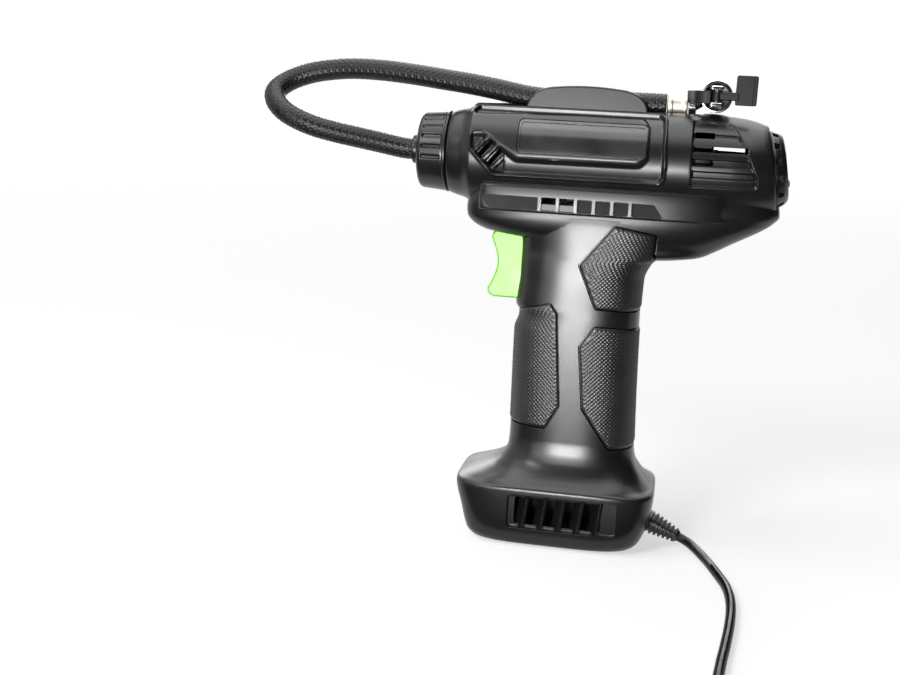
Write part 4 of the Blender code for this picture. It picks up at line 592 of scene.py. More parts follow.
# %% Outlines on the unrolled barrel
PANEL = mm(((-47.2, 18.4), (-45.2, 20.5), (32.5, 20.5), (34.8, 18.6), (35.8, -5.5), (33.8, -8.1),
            (-35.7, -8.2), (-46.5, 2.6), (-46.8, 9.3)))
PLATFORM = mm(((-56, 9.4), (-41.2, 9.4), (-26.2, -0.6), (24.5, -0.4), (27, 2), (26.8, 16), (24.5, 18.3),
               (-2, 18.5), (-43.8, 17.2), (-56, 17)))
REAR_VENT = mm(((45.6, 19), (63.2, 18.4), (66.2, 15.2), (73, -4), (72.4, -8.2), (46, -8.2)))
SLOT_ROWS = mm(((12.9, 55), (7.4, 69), (2, 55), (-3.2, 46.2)))
BEAD_HEIGHT, CHANNEL_DEPTH, PLATFORM_HEIGHT = 0.0006, 0.0013, 0.00025
BAR_HEIGHT, CORNER_DEPTH = 0.0011, 0.0005
VENT_DEPTH, SLOT_DEPTH = 0.0007, 0.0010
SLIT_A, SLIT_B = np.array((-0.0396, 0.0030)), np.array((-0.0355, -0.0006))


def unrolled(outline, radius):
    """Heights above the axis become lengths round the barrel, and corners are drawn round."""
    flat = [(x, BARREL_R * math.asin(max(-1, min(1, rise / BARREL_R)))) for x, rise in outline]
    return [tuple(point) for point in rounded(flat, radius)]


def distance_to(outline, x, s):
    """Distance from an outline, negative inside it."""
    nearest = np.full(np.shape(x), 1.0)
    inside = np.zeros(np.shape(x), bool)
    for (x0, s0), (x1, s1) in zip(outline, outline[1:] + outline[:1]):
        dx, ds = x1 - x0, s1 - s0
        share = np.clip(((x - x0) * dx + (s - s0) * ds) / (dx * dx + ds * ds), 0, 1)
        nearest = np.minimum(nearest, np.hypot(x - x0 - share * dx, s - s0 - share * ds))
        if s0 != s1:
            inside ^= ((s0 > s) != (s1 > s)) & (x < x0 + (s - s0) * dx / ds)
    return np.where(inside, -nearest, nearest)


def ramp(value, width):
    """0 below zero and 1 past the width, with a soft rise between."""
    t = np.clip(value / width, 0, 1)
    return t * t * (3 - 2 * t)


def ridge(value, half):
    """A round ridge centred on zero."""
    return np.where(np.abs(value) < half, np.cos(np.clip(value / half, -1, 1) * math.pi / 2) ** 2, 0)


PANEL_LINE = unrolled(PANEL, 0.0022)
PLATFORM_LINE = unrolled(PLATFORM, 0.0022)
VENT_LINE = unrolled(REAR_VENT, 0.0016)


def moulding(x, s):
    """How far the barrel's side stands out at a place on the unrolled barrel."""
    panel = distance_to(PANEL_LINE, x, s)
    platform = distance_to(PLATFORM_LINE, x, s)
    vent = distance_to(VENT_LINE, x, s)
    channel = ramp(-panel - 0.0007, 0.0006) * np.clip(platform / 0.0019, 0, 1)
    bead = BEAD_HEIGHT * ridge(panel + 0.0001, 0.0010) * ramp(platform - 0.0002, 0.0012)
    height = bead - CHANNEL_DEPTH * channel
    height += PLATFORM_HEIGHT * ramp(-platform - 0.0002, 0.0009) * ramp(x + 0.0500, 0.0060)

    gap = np.linalg.norm(SLIT_B - SLIT_A)
    across = (SLIT_B - SLIT_A) / gap
    w = (x - SLIT_A[0]) * across[0] + (s - SLIT_A[1]) * across[1]
    corner = ramp(0.0105 - np.abs(w - gap / 2), 0.0006) * ramp(-0.0312 - x, 0.0008) * channel
    bars = sum(ramp(0.0011 - np.abs(w - gap / 2 - gap * step), 0.0005) for step in (-1, 0, 1))
    height += corner * (BAR_HEIGHT * bars - CORNER_DEPTH)

    sunk = ramp(-vent, 0.0006)
    height -= VENT_DEPTH * sunk
    for rise, _ in SLOT_ROWS:
        row = BARREL_R * math.asin(rise / BARREL_R)
        height -= SLOT_DEPTH * sunk * ramp(0.0016 - np.abs(s - row), 0.0004) * ramp(-vent - 0.0008, 0.0004)
    return height


# %% The barrel
STATIONS = ((NOSE_X + 0.0030, NOSE_R - 0.0002, 0), (NOSE_X + 0.0034, NOSE_R + 0.0004, 0),
            (NOSE_X + 0.0070, NOSE_R + 0.0016, 0), (NOSE_X + 0.0100, NOSE_R + 0.0024, 0),
            (NOSE_X + 0.0120, BARREL_R - 0.0010, 0), (NOSE_X + 0.0140, BARREL_R, 0),
            (REAR_X - 0.0350, BARREL_R, 0), (REAR_X - 0.0180, BARREL_R - 0.0002, 0.4 * REAR_TILT),
            (REAR_X - 0.0100, BARREL_R - 0.0008, 0.7 * REAR_TILT),
            (REAR_X - 0.0040, BARREL_R - 0.0020, 0.9 * REAR_TILT),
            (REAR_X - 0.0006, REAR_R + 0.0004, REAR_TILT), (REAR_X, REAR_R - 0.0002, REAR_TILT))


def barrel(name, places, angles):
    """The near half of the barrel, with a strip past the middle plane to be cut off."""
    known = [station[0] for station in STATIONS]
    radii = eased(known, [station[1] for station in STATIONS], places)
    tilts = eased(known, [station[2] for station in STATIONS], places)
    rings = []
    for x, radius, tilt in zip(places, radii, tilts):
        reach = radius + moulding(np.full(len(angles), x), BARREL_R * (math.pi / 2 - angles))
        rise = reach * np.cos(angles)
        lean = x - math.tan(tilt) * rise
        rings.append(np.column_stack([lean, -reach * np.sin(angles), BARREL_Z + rise]))
    return rolled(name, rings)


fine_x = np.arange(-0.0485, 0.0755, 0.00045)
nose_x = NOSE_X + np.array(mm((3, 3.1, 3.3, 3.6, 4.2, 5, 6, 7.2, 8.4, 9.6, 10.6, 11.3)))
rear_x = REAR_X - np.array(mm((3.8, 3, 2.2, 1.4, 0.8, 0.4, 0)))
places = np.concatenate([nose_x, fine_x, rear_x])
angles = np.radians(np.concatenate([np.arange(-8, 10, 3.0), np.arange(10, 122, 1.1),
                                    np.arange(122, 189, 3.0)]))
half = barrel("left_housing_shell", places, angles)
print("barrel grid", len(places), "by", len(angles))

# %% [markdown]
# ## Handle, hull and ledge
# The handle is a stack of rounded oblongs: nearly square at the base, softer where the hand goes. The
# hull joins it to the barrel, and a ledge runs along each side of the hull. Each is a rolled grid whose
# sections follow an eased curve through the measured ones, so the surface flows without bumps.

# %% Sections
def bulge(value, power):
    """A power of a number that keeps its sign."""
    return np.sign(value) * np.abs(value) ** power


def plan(front, back, half_width, front_power, back_power, count):
    """A rounded oblong seen from above, whose ends have their own squareness."""
    angle = 2 * math.pi * (np.arange(count) + 0.5) / count
    power = 2 / np.where(np.cos(angle) > 0, back_power, front_power)
    x = (front + back) / 2 + (back - front) / 2 * bulge(np.cos(angle), power)
    y = half_width * bulge(np.sin(angle), power)
    return np.column_stack([x, y])


def handle_at(heights):
    known = [section[0] for section in HANDLE]
    return np.column_stack([eased(known, [section[i] for section in HANDLE], heights) for i in range(1, 5)])


def handle(name, heights, inset, count=112):
    rings = []
    for z, (front, back, half_width, power) in zip(heights, handle_at(heights)):
        wall = inset(z)
        outline = plan(front + wall, back - wall, half_width - wall, power, power, count)
        rings.append(np.column_stack([outline, np.full(count, z)]))
    return rolled(name, rings)


def hull(name, heights, inset, count=112):
    known = [section[0] for section in HULL]
    columns = [eased(known, [section[i] for section in HULL], heights) for i in range(1, 5)]
    rings = []
    for z, front, back, half_width, power in zip(heights, *columns):
        outline = plan(front + inset, back - inset, half_width - inset, power, 3.0, count)
        rings.append(np.column_stack([outline, np.full(count, z + inset)]))
    return rolled(name, rings)


def ledge(name, count=240):
    rings = []
    for z, half_width in LEDGE:
        outline = plan(LEDGE_FRONT, LEDGE_BACK, half_width, 16.0, 3.2, count)
        rings.append(np.column_stack([outline, np.full(count, z)]))
    return rolled(name, rings)


HEIGHTS = np.concatenate([(0.0003, 0.0005, 0.0008, 0.0014, 0.0022, 0.0035, 0.0050),
                          np.arange(0.008, 0.0225, 0.003), np.arange(0.0230, 0.0470, 0.0004),
                          np.arange(0.0470, 0.1000, 0.0030), np.arange(0.1000, 0.1451, 0.0010)])
body = handle("handle_body", HEIGHTS, lambda z: 0.0)
join(body, hull("hull_body", np.arange(0.1286, 0.1581, 0.0007), 0.0), ledge("ledge_body"))


def well_wall(z):
    """The wall is thinner in the base than in the handle."""
    return 0.0024 if z < 0.032 else 0.0036


inside = handle("handle_well", np.arange(0.0030, 0.1450, 0.0030), well_wall, 64)
bore = mm(((0, -58), (15, -58), (18, -53), (19.8, -50), (19.8, 60), (16.2, 69), (16.2, 100), (0, 100)))
join(inside, hull("hull_hold", np.arange(0.1286, 0.1581, 0.0020), WALL, 64),
     spun("barrel_bore", bore, AXIS, ALONG, 96))
print("body", len(body.data.polygons), "faces")

# %% [markdown]
# ## Openings
# Vents, cells, pockets and seats are cut with tools drawn from the side. Tools that don't touch each
# other are merged first, so that one Boolean step cuts them all.

# %% Tools for the openings
def from_side(name, outline, low, high):
    return drawn(name, [tuple(point) for point in outline], "Y", low, high)


def vent_slots():
    """Three rows of slots behind the motor, and two slanted slits at the front."""
    tools = []
    for rise, end in SLOT_ROWS[:3]:
        z = BARREL_Z + rise
        outline = oblong((0.0470, z - 0.0012), (end, z + 0.0012), 0.0004)
        tools.append(from_side("slot", outline, -0.03, -0.008))
    for x, rise in (SLIT_A, SLIT_B):
        middle = Vector((x, -0.0195, BARREL_Z + rise))
        size = Vector((0.0040, 0.010, 0.0010))
        tools.append(bar("slit", middle - size, middle + size, Matrix.Rotation(math.radians(-50), 4, "Y")))
    return tools


CELL_LOW, CELL_HIGH, CELL_FACE = 0.1476, 0.1532, 0.0224
CELL_PITCH, HALF_BAR = 0.0076, 0.00075
FLOOR_SLOPE = 0.18


def recess(outline, depth):
    """A cutter for the ledge with a tilted inner end, so that the recess's floor faces slightly upwards."""
    tool = from_side("cell", outline, -0.03, -CELL_FACE + depth)
    for corner in tool.data.vertices:
        if corner.co.y > -0.025:
            corner.co.y += FLOOR_SLOPE * (corner.co.z - 0.1504)
    return tool


def ledge_cells():
    """Recesses along the ledge between upright bars, the two behind the first bar open to the inside."""
    low, high, face = CELL_LOW, CELL_HIGH, CELL_FACE
    edges = [-0.0152 + CELL_PITCH * i for i in range(6)]
    tools = [recess(oblong((-0.0402, low), (edges[0] - HALF_BAR, high), 0.0005), 0.0008)]
    for i, (start, end) in enumerate(zip(edges, edges[1:])):
        if i < 2:
            wedge = ((-0.03, low), (-face + 0.0012, low), (-face + 0.0013, low + 0.0028),
                     (-face + 0.0062, low + 0.0034), (-face + 0.0062, high), (-0.03, high))
            tools.append(drawn("cell", wedge, "X", start + HALF_BAR, end - HALF_BAR))
        else:
            tools.append(recess(oblong((start + HALF_BAR, low), (end - HALF_BAR, high), 0.0007), 0.0014))
    start = edges[-1] + HALF_BAR
    tail_end = rounded(((start, low), (start + 0.0130, low), (start + 0.0090, high), (start, high)), 0.0006)
    return tools + [recess(tail_end, 0.0014)]


WINDOW_LOW, WINDOW_HIGH = (-0.0203, 0.0088), (0.0278, 0.0240)
VANES, VANE_PITCH = 5, 0.0080


def base_window():
    """A sunk frame low on the base, with the opening that the vanes stand in."""
    frame_cut = from_side("window_frame", oblong(WINDOW_LOW, WINDOW_HIGH, 0.0026), -0.04, -0.0258)
    softened(frame_cut, 0.0006)
    opening = oblong((-0.0172, 0.0102), (0.0206, 0.0226), 0.0012)
    return join(frame_cut, from_side("window_opening", opening, -0.03, -0.02))


def vanes():
    """Five planks across the opening, leaning and turned to shed water."""
    slant = Matrix.Rotation(math.radians(38), 4, "Z") @ Matrix.Rotation(math.radians(9), 4, "Y")
    planks = []
    for i in range(VANES):
        middle = Vector((-0.0138 + VANE_PITCH * i, -0.0246, 0.0164))
        size = Vector((0.0007, 0.0030, 0.0074))
        planks.append(bar("vane", middle - size, middle + size, slant))
    return planks


# %% Cut the halves
GRIPS = {"front_grip": mm(((-34, 100), (-8, 107.6), (-5, 103.5), (-1.4, 62.7), (-7.1, 52.4), (-34, 52.8))),
         "rear_upper_grip": mm(((16.8, 142.6), (34.5, 139.9), (34.5, 128), (46, 122), (46, 105.2),
                                (11.3, 106.8), (3.1, 125.2))),
                                "rear_lower_grip": mm(((11.5, 99), (46, 97.2), (46, 45.2), (21.2, 45.1),
                                                       (8.6, 62.6), (5.6, 90.1)))}
GRIP_DEPTH = 0.0016


def spread(outline, width):
    """An outline grown outwards all round."""
    middle = sum((Vector(point) for point in outline), Vector((0, 0))) / len(outline)
    grown = []
    for i, place in enumerate(outline):
        point = Vector(place)
        before = (point - Vector(outline[i - 1])).normalized()
        after = (Vector(outline[(i + 1) % len(outline)]) - point).normalized()
        out_before, out_after = Vector((-before.y, before.x)), Vector((-after.y, after.x))
        if out_before.dot(point - middle) < 0:
            out_before, out_after = -out_before, -out_after
        corner = (out_before + out_after).normalized()
        grown.append(point + corner * width / max(corner.dot(out_after), 0.3))
    return grown


def relief_axis():
    return (RELIEF_END - RELIEF_ROOT).normalized()


pockets = []
core = handle("pocket_floor", np.arange(0.0400, 0.1451, 0.0012), lambda z: GRIP_DEPTH + CLEAR, 112)
for name, outline in GRIPS.items():
    pockets.append(from_side(name, rounded(spread(outline, 0.00045), 0.0018), -0.04, -0.0004))
pockets = cut(merged("grip_pockets", pockets), core)
cut(body, pockets)
slot_line = oblong((-0.0083, 0.1070), (0.0083, 0.1373), 0.0020)
trigger_slot = drawn("trigger_slot", slot_line, "X", -0.0378, -0.0170)
relief_hole = rod("relief_hole", 0.0054, -0.004, 0.02, RELIEF_ROOT, relief_axis())
pad_low = handle_at([0.0003])[0]
seat_line = plan(pad_low[0] + 0.0027, pad_low[1] - 0.0027, pad_low[2] - 0.0027, 4, 4, 64)
pad_seat = drawn("pad_seat", seat_line, "Z", -0.001, 0.0015)
cut(body, merged("base_openings", [base_window(), relief_hole, trigger_slot, pad_seat]))
join(half, body)
cut(half, inside)
shaped(half, bar("near_side", (-0.2, -0.1, -0.1), (0.2, -CLEAR / 2, 0.3)), "INTERSECT")
nose_hole = rod("nose_hole", 0.0066, -0.072, -0.05, AXIS, ALONG)
out = Vector((math.cos(REAR_TILT), 0, math.sin(REAR_TILT)))
cap_space = rod("cap_space", 0.0169, 0.0001, 0.03, (REAR_X, 0, BARREL_Z), out)
groove_path = smooth_route(HOSE_ROUTE[16:], 40) + [Vector((0.0480, 0, HOSE_Z))]
hose_groove = swept("hose_groove", groove_path, HOSE_R + 0.0007, sides=8)
cut(half, merged("openings", [*vent_slots(), *ledge_cells(), nose_hole, cap_space, hose_groove]))
join(half, merged("vane_row", vanes()))
print("near half", len(half.data.polygons), "faces")

# %% [markdown]
# The far half is the near one's mirror image. The screws go in from its side, down countersunk holes, and
# the near half alone has the badge's seat.

# %% The far half and the badge's seat
SCREWS = mm(((-44, 158), (66, 153), (-4, 112), (0, 47)))
far = copied(half, "far_half")
wells = [rod("screw_well", 0.0027, -0.04, -0.0077, (x, 0, z), ACROSS, 32) for x, z in SCREWS]
cut(far, merged("screw_wells", wells))
far_half = copied(far, "right_housing_shell", flip=True)
bpy.data.objects.remove(far)
BADGE_LOW, BADGE_HIGH = (-0.0262, 0.1715), (0.0275, 0.1852)


def badge_shell(name, margin, low_r, high_r, radius):
    """A rounded oblong of the barrel's side between two radii."""
    outline = oblong((BADGE_LOW[0] - margin, BADGE_LOW[1] - margin),
                     (BADGE_HIGH[0] + margin, BADGE_HIGH[1] + margin), radius)
    shell = from_side(name, outline, -0.03, -0.004)
    ring = spun("ring", ((low_r, -0.05), (high_r, -0.05), (high_r, 0.05), (low_r, 0.05)), AXIS, ALONG, 240)
    return shaped(shell, ring, "INTERSECT")


cut(half, badge_shell("badge_seat", 0.0003, BARREL_R - 0.0007, BARREL_R + 0.002, 0.0024))
dress(half, BLACK, "black_plastic", "left_housing", angle=30)
dress(far_half, BLACK, "black_plastic", "right_housing", angle=30)
print("halves", len(half.data.polygons), len(far_half.data.polygons), "faces")

# %% [markdown]
# ## Grips
# Three rubber pads are let into each side of the handle. Their faces carry rows of small pyramids,
# crossed on the slant, with a plain rim. Each pad is a rolled grid fine enough to carry the pyramids as
# real relief. Its rim is then trimmed to the pad's outline with one Boolean step.

# %% Grip pads
KNURL = 0.00125
KNURL_HEIGHT = 0.00050


def pyramids(along, z):
    """Valleys run both ways on the slant, and leave a pyramid between them."""
    first = ((along + z) / math.sqrt(2) / KNURL) % 1.0
    second = ((along - z) / math.sqrt(2) / KNURL) % 1.0
    return np.minimum(1 - np.abs(2 * first - 1), 1 - np.abs(2 * second - 1))


def pad_line(z, start, end, count):
    """Even points along part of the handle's section, with the outward direction and the length so far."""
    front, back, half_width, power = handle_at([z])[0]
    angle = np.radians(np.linspace(start, end, 1500))
    x = (front + back) / 2 + (back - front) / 2 * bulge(np.cos(angle), 2 / power)
    y = half_width * bulge(np.sin(angle), 2 / power)
    along = np.concatenate([[0], np.cumsum(np.hypot(np.diff(x), np.diff(y)))])
    even = np.linspace(0, along[-1], count)
    x, y = np.interp(even, along, x), np.interp(even, along, y)
    dx, dy = np.gradient(x), np.gradient(y)
    size = np.hypot(dx, dy)
    return x, y, dy / size, -dx / size, even


def grip_pad(name, outline, low, high, start, end, columns):
    line = [tuple(point) for point in rounded(outline, 0.0016)]
    rings = []
    for z in np.arange(low, high, 0.00031):
        x, y, nx, ny, along = pad_line(z, start, end, columns)
        along = along if start < 200 else along[-1] - along
        edge = distance_to(line, x, np.full(columns, z))
        rise = 0.0001 + KNURL_HEIGHT * pyramids(along, z) * ramp(-edge - 0.0009, 0.0005)
        rise -= 0.0005 * (1 - ramp(-edge, 0.0006))
        outer = np.column_stack([x + nx * rise, y + ny * rise, np.full(columns, z)])
        few = np.linspace(columns - 1, 0, 24).astype(int)
        inner = np.column_stack([x - nx * GRIP_DEPTH, y - ny * GRIP_DEPTH, np.full(columns, z)])[few]
        rings.append(np.concatenate([outer, inner]))
    pad = rolled("left_" + name + "_pad", rings)
    return shaped(pad, from_side("trim", line, -0.04, -0.0006), "INTERSECT")


PADS = {"front_grip": (0.0518, 0.1082, 179.6, 278, 124),
        "rear_upper_grip": (0.1048, 0.1434, 258, 360.4, 130),
        "rear_lower_grip": (0.0446, 0.0996, 258, 360.4, 130)}
for name, (low, high, start, end, columns) in PADS.items():
    pad = grip_pad(name, GRIPS[name], low, high, start, end, columns)
    twin = copied(pad, "right_" + name + "_pad", flip=True)
    dress(pad, RUBBER, "rubber", "left_" + name, angle=70)
    dress(twin, RUBBER, "rubber", "right_" + name, angle=70)
    print(name, len(pad.data.polygons), "faces")

# %% [markdown]
# ## Trigger
# The trigger is one lime moulding with a hollow for the finger. Its side outline is drawn from the
# photograph, extruded to its width, and rounded all round with a bevel. A stem behind it reaches the
# switch.

# %% Trigger
face = smooth_route(mm(((-36, 136, 0), (-36.6, 133.5, 0), (-35.6, 131, 0), (-33.8, 125.5, 0),
                        (-33.7, 120.5, 0), (-35.5, 115, 0), (-37.4, 110.8, 0), (-36.6, 108.6, 0),
                        (-34.5, 107.3, 0))), 40)
side_line = [(point.x, point.y) for point in face]
side_line += [(-0.0200, 0.1073), (-0.0200, 0.1300), (-0.0206, 0.1332), (-0.0222, 0.1356), (-0.0250, 0.1368),
              (-0.0340, 0.1370)]
TRIGGER_HALF, TRIGGER_ROUND = 0.0080, 0.0022
blade = drawn("trigger_blade", side_line, "Y", -TRIGGER_HALF, TRIGGER_HALF)
trigger = softened(blade, TRIGGER_ROUND, 6, 30)
stem_line = mm(((0, -22), (2.4, -22), (2.4, -7.6), (1.9, -7), (0, -7)))
stem = spun("stem", stem_line, (0, 0, 0.1265), ALONG, 40)
join(trigger, stem)
dress(trigger, LIME, "lime_plastic", "trigger", body="trigger", angle=40)
print("trigger", len(trigger.data.polygons), "faces")

# %% [markdown]
# ## Nose collar and gland
# A grooved collar closes the barrel's nose. Soft grooves run along its sides, so its radius is a height
# too. The gland that grips the hose is a plain turned piece in the middle of it.

# %% Nose collar and gland
COLLAR_BACK, COLLAR_FRONT = NOSE_X + 0.0026, NOSE_X - 0.0107
collar_x = [COLLAR_BACK, -0.0581, -0.0588, -0.0590, -0.0593, -0.0600, -0.0692, -0.0700, -0.0706, -0.0710,
            -0.0712]
collar_r = [0.0174, 0.0179, 0.0179, 0.0176, 0.0174, 0.0175, 0.0167, 0.0164, 0.0158, 0.0148, 0.0136]
grooves = [math.radians(sign * 90 - sign * (54 - 15.5 * step)) for sign in (-1, 1) for step in range(5)]
collar_angles = np.linspace(-math.pi, math.pi, 360, endpoint=False)
rings = []
for x in np.linspace(COLLAR_BACK, COLLAR_FRONT, 76):
    radius = np.interp(-x, [-value for value in collar_x], collar_r)
    reach = np.full(360, radius)
    for at in grooves:
        across = radius * np.arctan2(np.sin(collar_angles - at), np.cos(collar_angles - at))
        ends = ramp(x - COLLAR_FRONT - 0.0024, 0.0008) * ramp(-0.0598 - x, 0.0006)
        reach = reach - 0.0008 * ends * ramp(0.0010 - np.abs(across), 0.0005)
    rings.append(np.column_stack([np.full(360, x), reach * np.sin(collar_angles),
                                  BARREL_Z + reach * np.cos(collar_angles)]))
collar = rolled("nose_collar_ring", rings)
cut(collar, rod("gland_way", 0.0066, -0.08, -0.05, AXIS, ALONG))
dress(collar, BLACK, "black_plastic", "nose_collar")
gland_line = mm(((1.8, -52.5), (3, -52.5), (3, -56.2), (8.5, -56.2), (8.5, -58), (6.3, -58), (6.3, -72.8),
                 (6.4, -73.6), (6.4, -74.4), (6.2, -74.8), (5.7, -75), (5.05, -75), (5.05, -71),
                 (1.8, -71)))
gland = spun("hose_gland_boss", gland_line, AXIS, ALONG)
dress(gland, BLACK, "black_plastic", "hose_gland")
print("collar", len(collar.data.polygons), "faces")

# %% [markdown]
# ## Gauge cap
# The rear cap leans forward with the barrel's end. Slots round its rim let air in, and its face holds a
# smoked window and three rubber buttons. It is spun upright and then moved into its lean as a whole.

# %% Gauge cap
LEAN = Matrix(((0, -math.sin(REAR_TILT), math.cos(REAR_TILT), REAR_X), (1, 0, 0, 0),
               (0, math.cos(REAR_TILT), math.sin(REAR_TILT), BARREL_Z), (0, 0, 0, 1)))
CAP_R, CAP_RISE, CAP_VENTS = 0.0166, 0.0056, 14
BUTTON_PITCH, BUTTON_Y = 0.0055, -0.0062


def lean(obj):
    obj.data.transform(LEAN)
    return obj


cap_line = ((0, CAP_RISE), (0.0122, CAP_RISE), (0.0132, CAP_RISE - 0.0001), (0.0142, CAP_RISE - 0.0006),
            (0.0150, CAP_RISE - 0.0015), (0.0157, CAP_RISE - 0.0026), (0.0163, CAP_RISE - 0.0040),
            (CAP_R, 0.0012), (CAP_R, 0.0003), (0.0156, 0.0003), (0.0156, -0.0045), (0.0138, -0.0045),
            (0.0138, 0.0008), (0.0122, 0.0030), (0, 0.0038))
cap = spun("gauge_cap", cap_line, (0, 0, 0), UP, 126)
vents = []
for step in range(CAP_VENTS):
    vent = bar("vent", (0.0134, -0.0015, 0.0011), (0.0180, 0.0015, 0.0034))
    vent.data.transform(Matrix.Rotation(2 * math.pi * (step + 0.5) / CAP_VENTS, 4, "Z"))
    vents.append(vent)
holes = [rod("hole", 0.0020, -0.002, 0.008, (BUTTON_PITCH * column, BUTTON_Y, 0), UP, 40)
         for column in (-1, 0, 1)]
seat = drawn("seat", oblong((-0.0078, -0.0018), (0.0078, 0.0073), 0.0014), "Z", CAP_RISE - 0.0010, 0.009)
cut(cap, merged("cap_cuts", [*vents, *holes, seat]))
dress(lean(cap), BLACK, "black_plastic", "rear_cap")
pane_line = oblong((-0.0075, -0.00145), (0.0075, 0.00705), 0.0012)
pane = softened(drawn("gauge_pane", pane_line, "Z", 0.0049, 0.0059), 0.00025)
dress(lean(pane), GLASS, "gauge_glass", "gauge_window")
button_line = mm(((0, 6.5), (0.9, 6.45), (1.3, 6.3), (1.6, 6), (1.7, 5.6), (1.7, 2.7), (2.4, 2.7),
                  (2.4, 1.9), (1.2, 1.9), (1.2, -1.2), (0, -1.2)))
for column, name in ((-1, "minus_button"), (0, "mode_button"), (1, "plus_button")):
    button = spun(name + "_knob", button_line, (BUTTON_PITCH * column, BUTTON_Y, 0), UP, 40)
    dress(lean(button), RUBBER, "rubber", name, body=name)
print("cap", len(cap.data.polygons), "faces")

# %% [markdown]
# ## Hose clip
# A low arch on top of the barrel holds the hose between two jaws. One jaw is drawn from the side,
# rounded, cut to the barrel and the hose, and split on the middle plane. The other is its mirror image.

# %% Hose clip
CLIP_FRONT, CLIP_BACK, CLIP_TOP = -0.0246, 0.0264, BARREL_Z + BARREL_R + 0.0088
arch = [(CLIP_FRONT - 0.0010, 0.1875), (CLIP_FRONT, CLIP_TOP - 0.0078),
        (CLIP_FRONT + 0.0024, CLIP_TOP - 0.0044), (CLIP_FRONT + 0.0055, CLIP_TOP - 0.0022)]
for step in range(9):
    share = 0.18 + 0.64 * step / 8
    arch.append((CLIP_FRONT + (CLIP_BACK - CLIP_FRONT) * share,
                 CLIP_TOP - 0.0016 * ((share - 0.5) / 0.38) ** 2))
arch += [(CLIP_BACK - 0.0045, CLIP_TOP - 0.0027), (CLIP_BACK - 0.0012, CLIP_TOP - 0.0056),
         (CLIP_BACK, CLIP_TOP - 0.0078)]
route = smooth_route([(x, z, 0) for x, z in arch], 64)
outline = [(point.x, point.y) for point in route] + [(CLIP_BACK + 0.0006, 0.1875)]
jaw = softened(drawn("left_clip_arch", outline, "Y", -0.0074, 0.0074), 0.0014, 5, 30)
barrel_tool = rod("barrel_tool", BARREL_R + CLEAR, -0.05, 0.05, AXIS, ALONG, 160)
hose_way = swept("hose_way", smooth_route(HOSE_ROUTE[14:], 90), HOSE_R + 0.0006, sides=10)
cut(jaw, barrel_tool, hose_way, bar("mouth", (-0.04, -0.0035, HOSE_Z), (0.04, 0.0035, 0.22)))
shaped(jaw, bar("near", (-0.1, -0.05, 0), (0.1, 0, 0.3)), "INTERSECT")
far_jaw = copied(jaw, "right_clip_arch", flip=True)
dress(jaw, BLACK, "black_plastic", "left_clip_jaw", angle=30)
dress(far_jaw, BLACK, "black_plastic", "right_clip_jaw", angle=30)
print("clip", len(jaw.data.polygons), "faces")

# %% [markdown]
# ## Badge
# The badge is a bent plate with a raised rim, and it stays bare. It is cut from a shell of the barrel's
# own curve, and its field is sunk below the rim.

# %% Badge
badge = badge_shell("badge_plaque", 0.0, BARREL_R - 0.0004, BARREL_R + 0.0003, 0.0022)
cut(badge, badge_shell("field", -0.0010, BARREL_R + 0.00005, BARREL_R + 0.002, 0.0015))
dress(badge, PLAQUE, "badge_grey", "badge_plate", angle=30)
print("badge", len(badge.data.polygons), "faces")

# %% [markdown]
# ## Ferrule and chuck
# The hose ends in a crimped ferrule with a champagne nickel finish. The chuck is a chromed cup that lies
# across the barrel, with a black thumb lever that clamps it on a valve. Both are lathe work with milled
# ears for the lever.

# %% Ferrule and chuck body
ferrule_line = mm(((0, 34.3), (4.6, 34.3), (5, 34.6), (5.15, 35), (5.15, 36.2), (4.9, 36.6), (4.8, 37),
                   (4.8, 40.2), (4.9, 40.6), (5.15, 41), (5.15, 42.1), (5, 42.6), (4.4, 42.9), (0, 42.9)))
ferrule = spun("crimped_ferrule", ferrule_line, (0, 0, HOSE_Z), ALONG, 96)
dress(ferrule, CHAMPAGNE, "aluminium", "hose_ferrule")
CHUCK_X, CHUCK_Z, HUB_Y = 0.0543, BARREL_Z + BARREL_R + 0.0070, -0.0118
CHUCK, HUB = (CHUCK_X, 0, CHUCK_Z), (CHUCK_X, HUB_Y, CHUCK_Z)
THROAT = Vector((0.0453, 0, HOSE_Z + 0.0004))


def pin_hole():
    return rod("pin_hole", 0.0012, -0.02, 0.02, HUB, UP, 32)


chuck_line = mm(((4.2, 11.5), (5.2, 11.5), (5.7, 11.3), (6, 10.9), (6.1, 10.3), (6.1, 4.1), (6.4, 3.6),
                 (6.7, 3.3), (6.7, -6.4), (6.5, -6.8), (6, -7), (6, -7.7), (6.5, -7.9), (6.7, -8.3),
                 (6.7, -9), (6.5, -9.4), (6, -9.5), (0, -9.5), (0, 2.5), (4.2, 2.5)))
chuck = spun("chuck_cup", chuck_line, CHUCK, ACROSS, 96)
neck_line = mm(((0, 43.2), (3, 43.2), (3.4, 43.6), (3.4, 46), (3, 46.4), (0, 46.4)))
neck = spun("neck", neck_line, (0, 0, HOSE_Z), ALONG, 48)
reach = Vector((CHUCK_X - 0.0030, 0, CHUCK_Z)) - THROAT
throat = rod("throat", 0.0025, 0, reach.length, THROAT, reach, 48)
join(chuck, neck, throat)
for sign in (-1, 1):
    low, high = sorted((CHUCK_Z + sign * 0.0024, CHUCK_Z + sign * 0.0044))
    ear = bar("ear", (CHUCK_X - 0.0024, HUB_Y - 0.0018, low), (CHUCK_X + 0.0024, -0.0085, high))
    join(chuck, softened(ear, 0.0006, 4))
cut(chuck, pin_hole())
dress(chuck, CHROME, "chrome", "chuck_body")
# The face plate's dark colour is a painted reflection: it stands in for the dark surroundings that the
# chrome face mirrors, and the lamps still glint on it.
face_line = mm(((0, -9.8), (2, -9.75), (4.8, -10.1), (5.6, -10.1), (5.8, -9.8), (5.8, -9.4), (0, -9.4)))
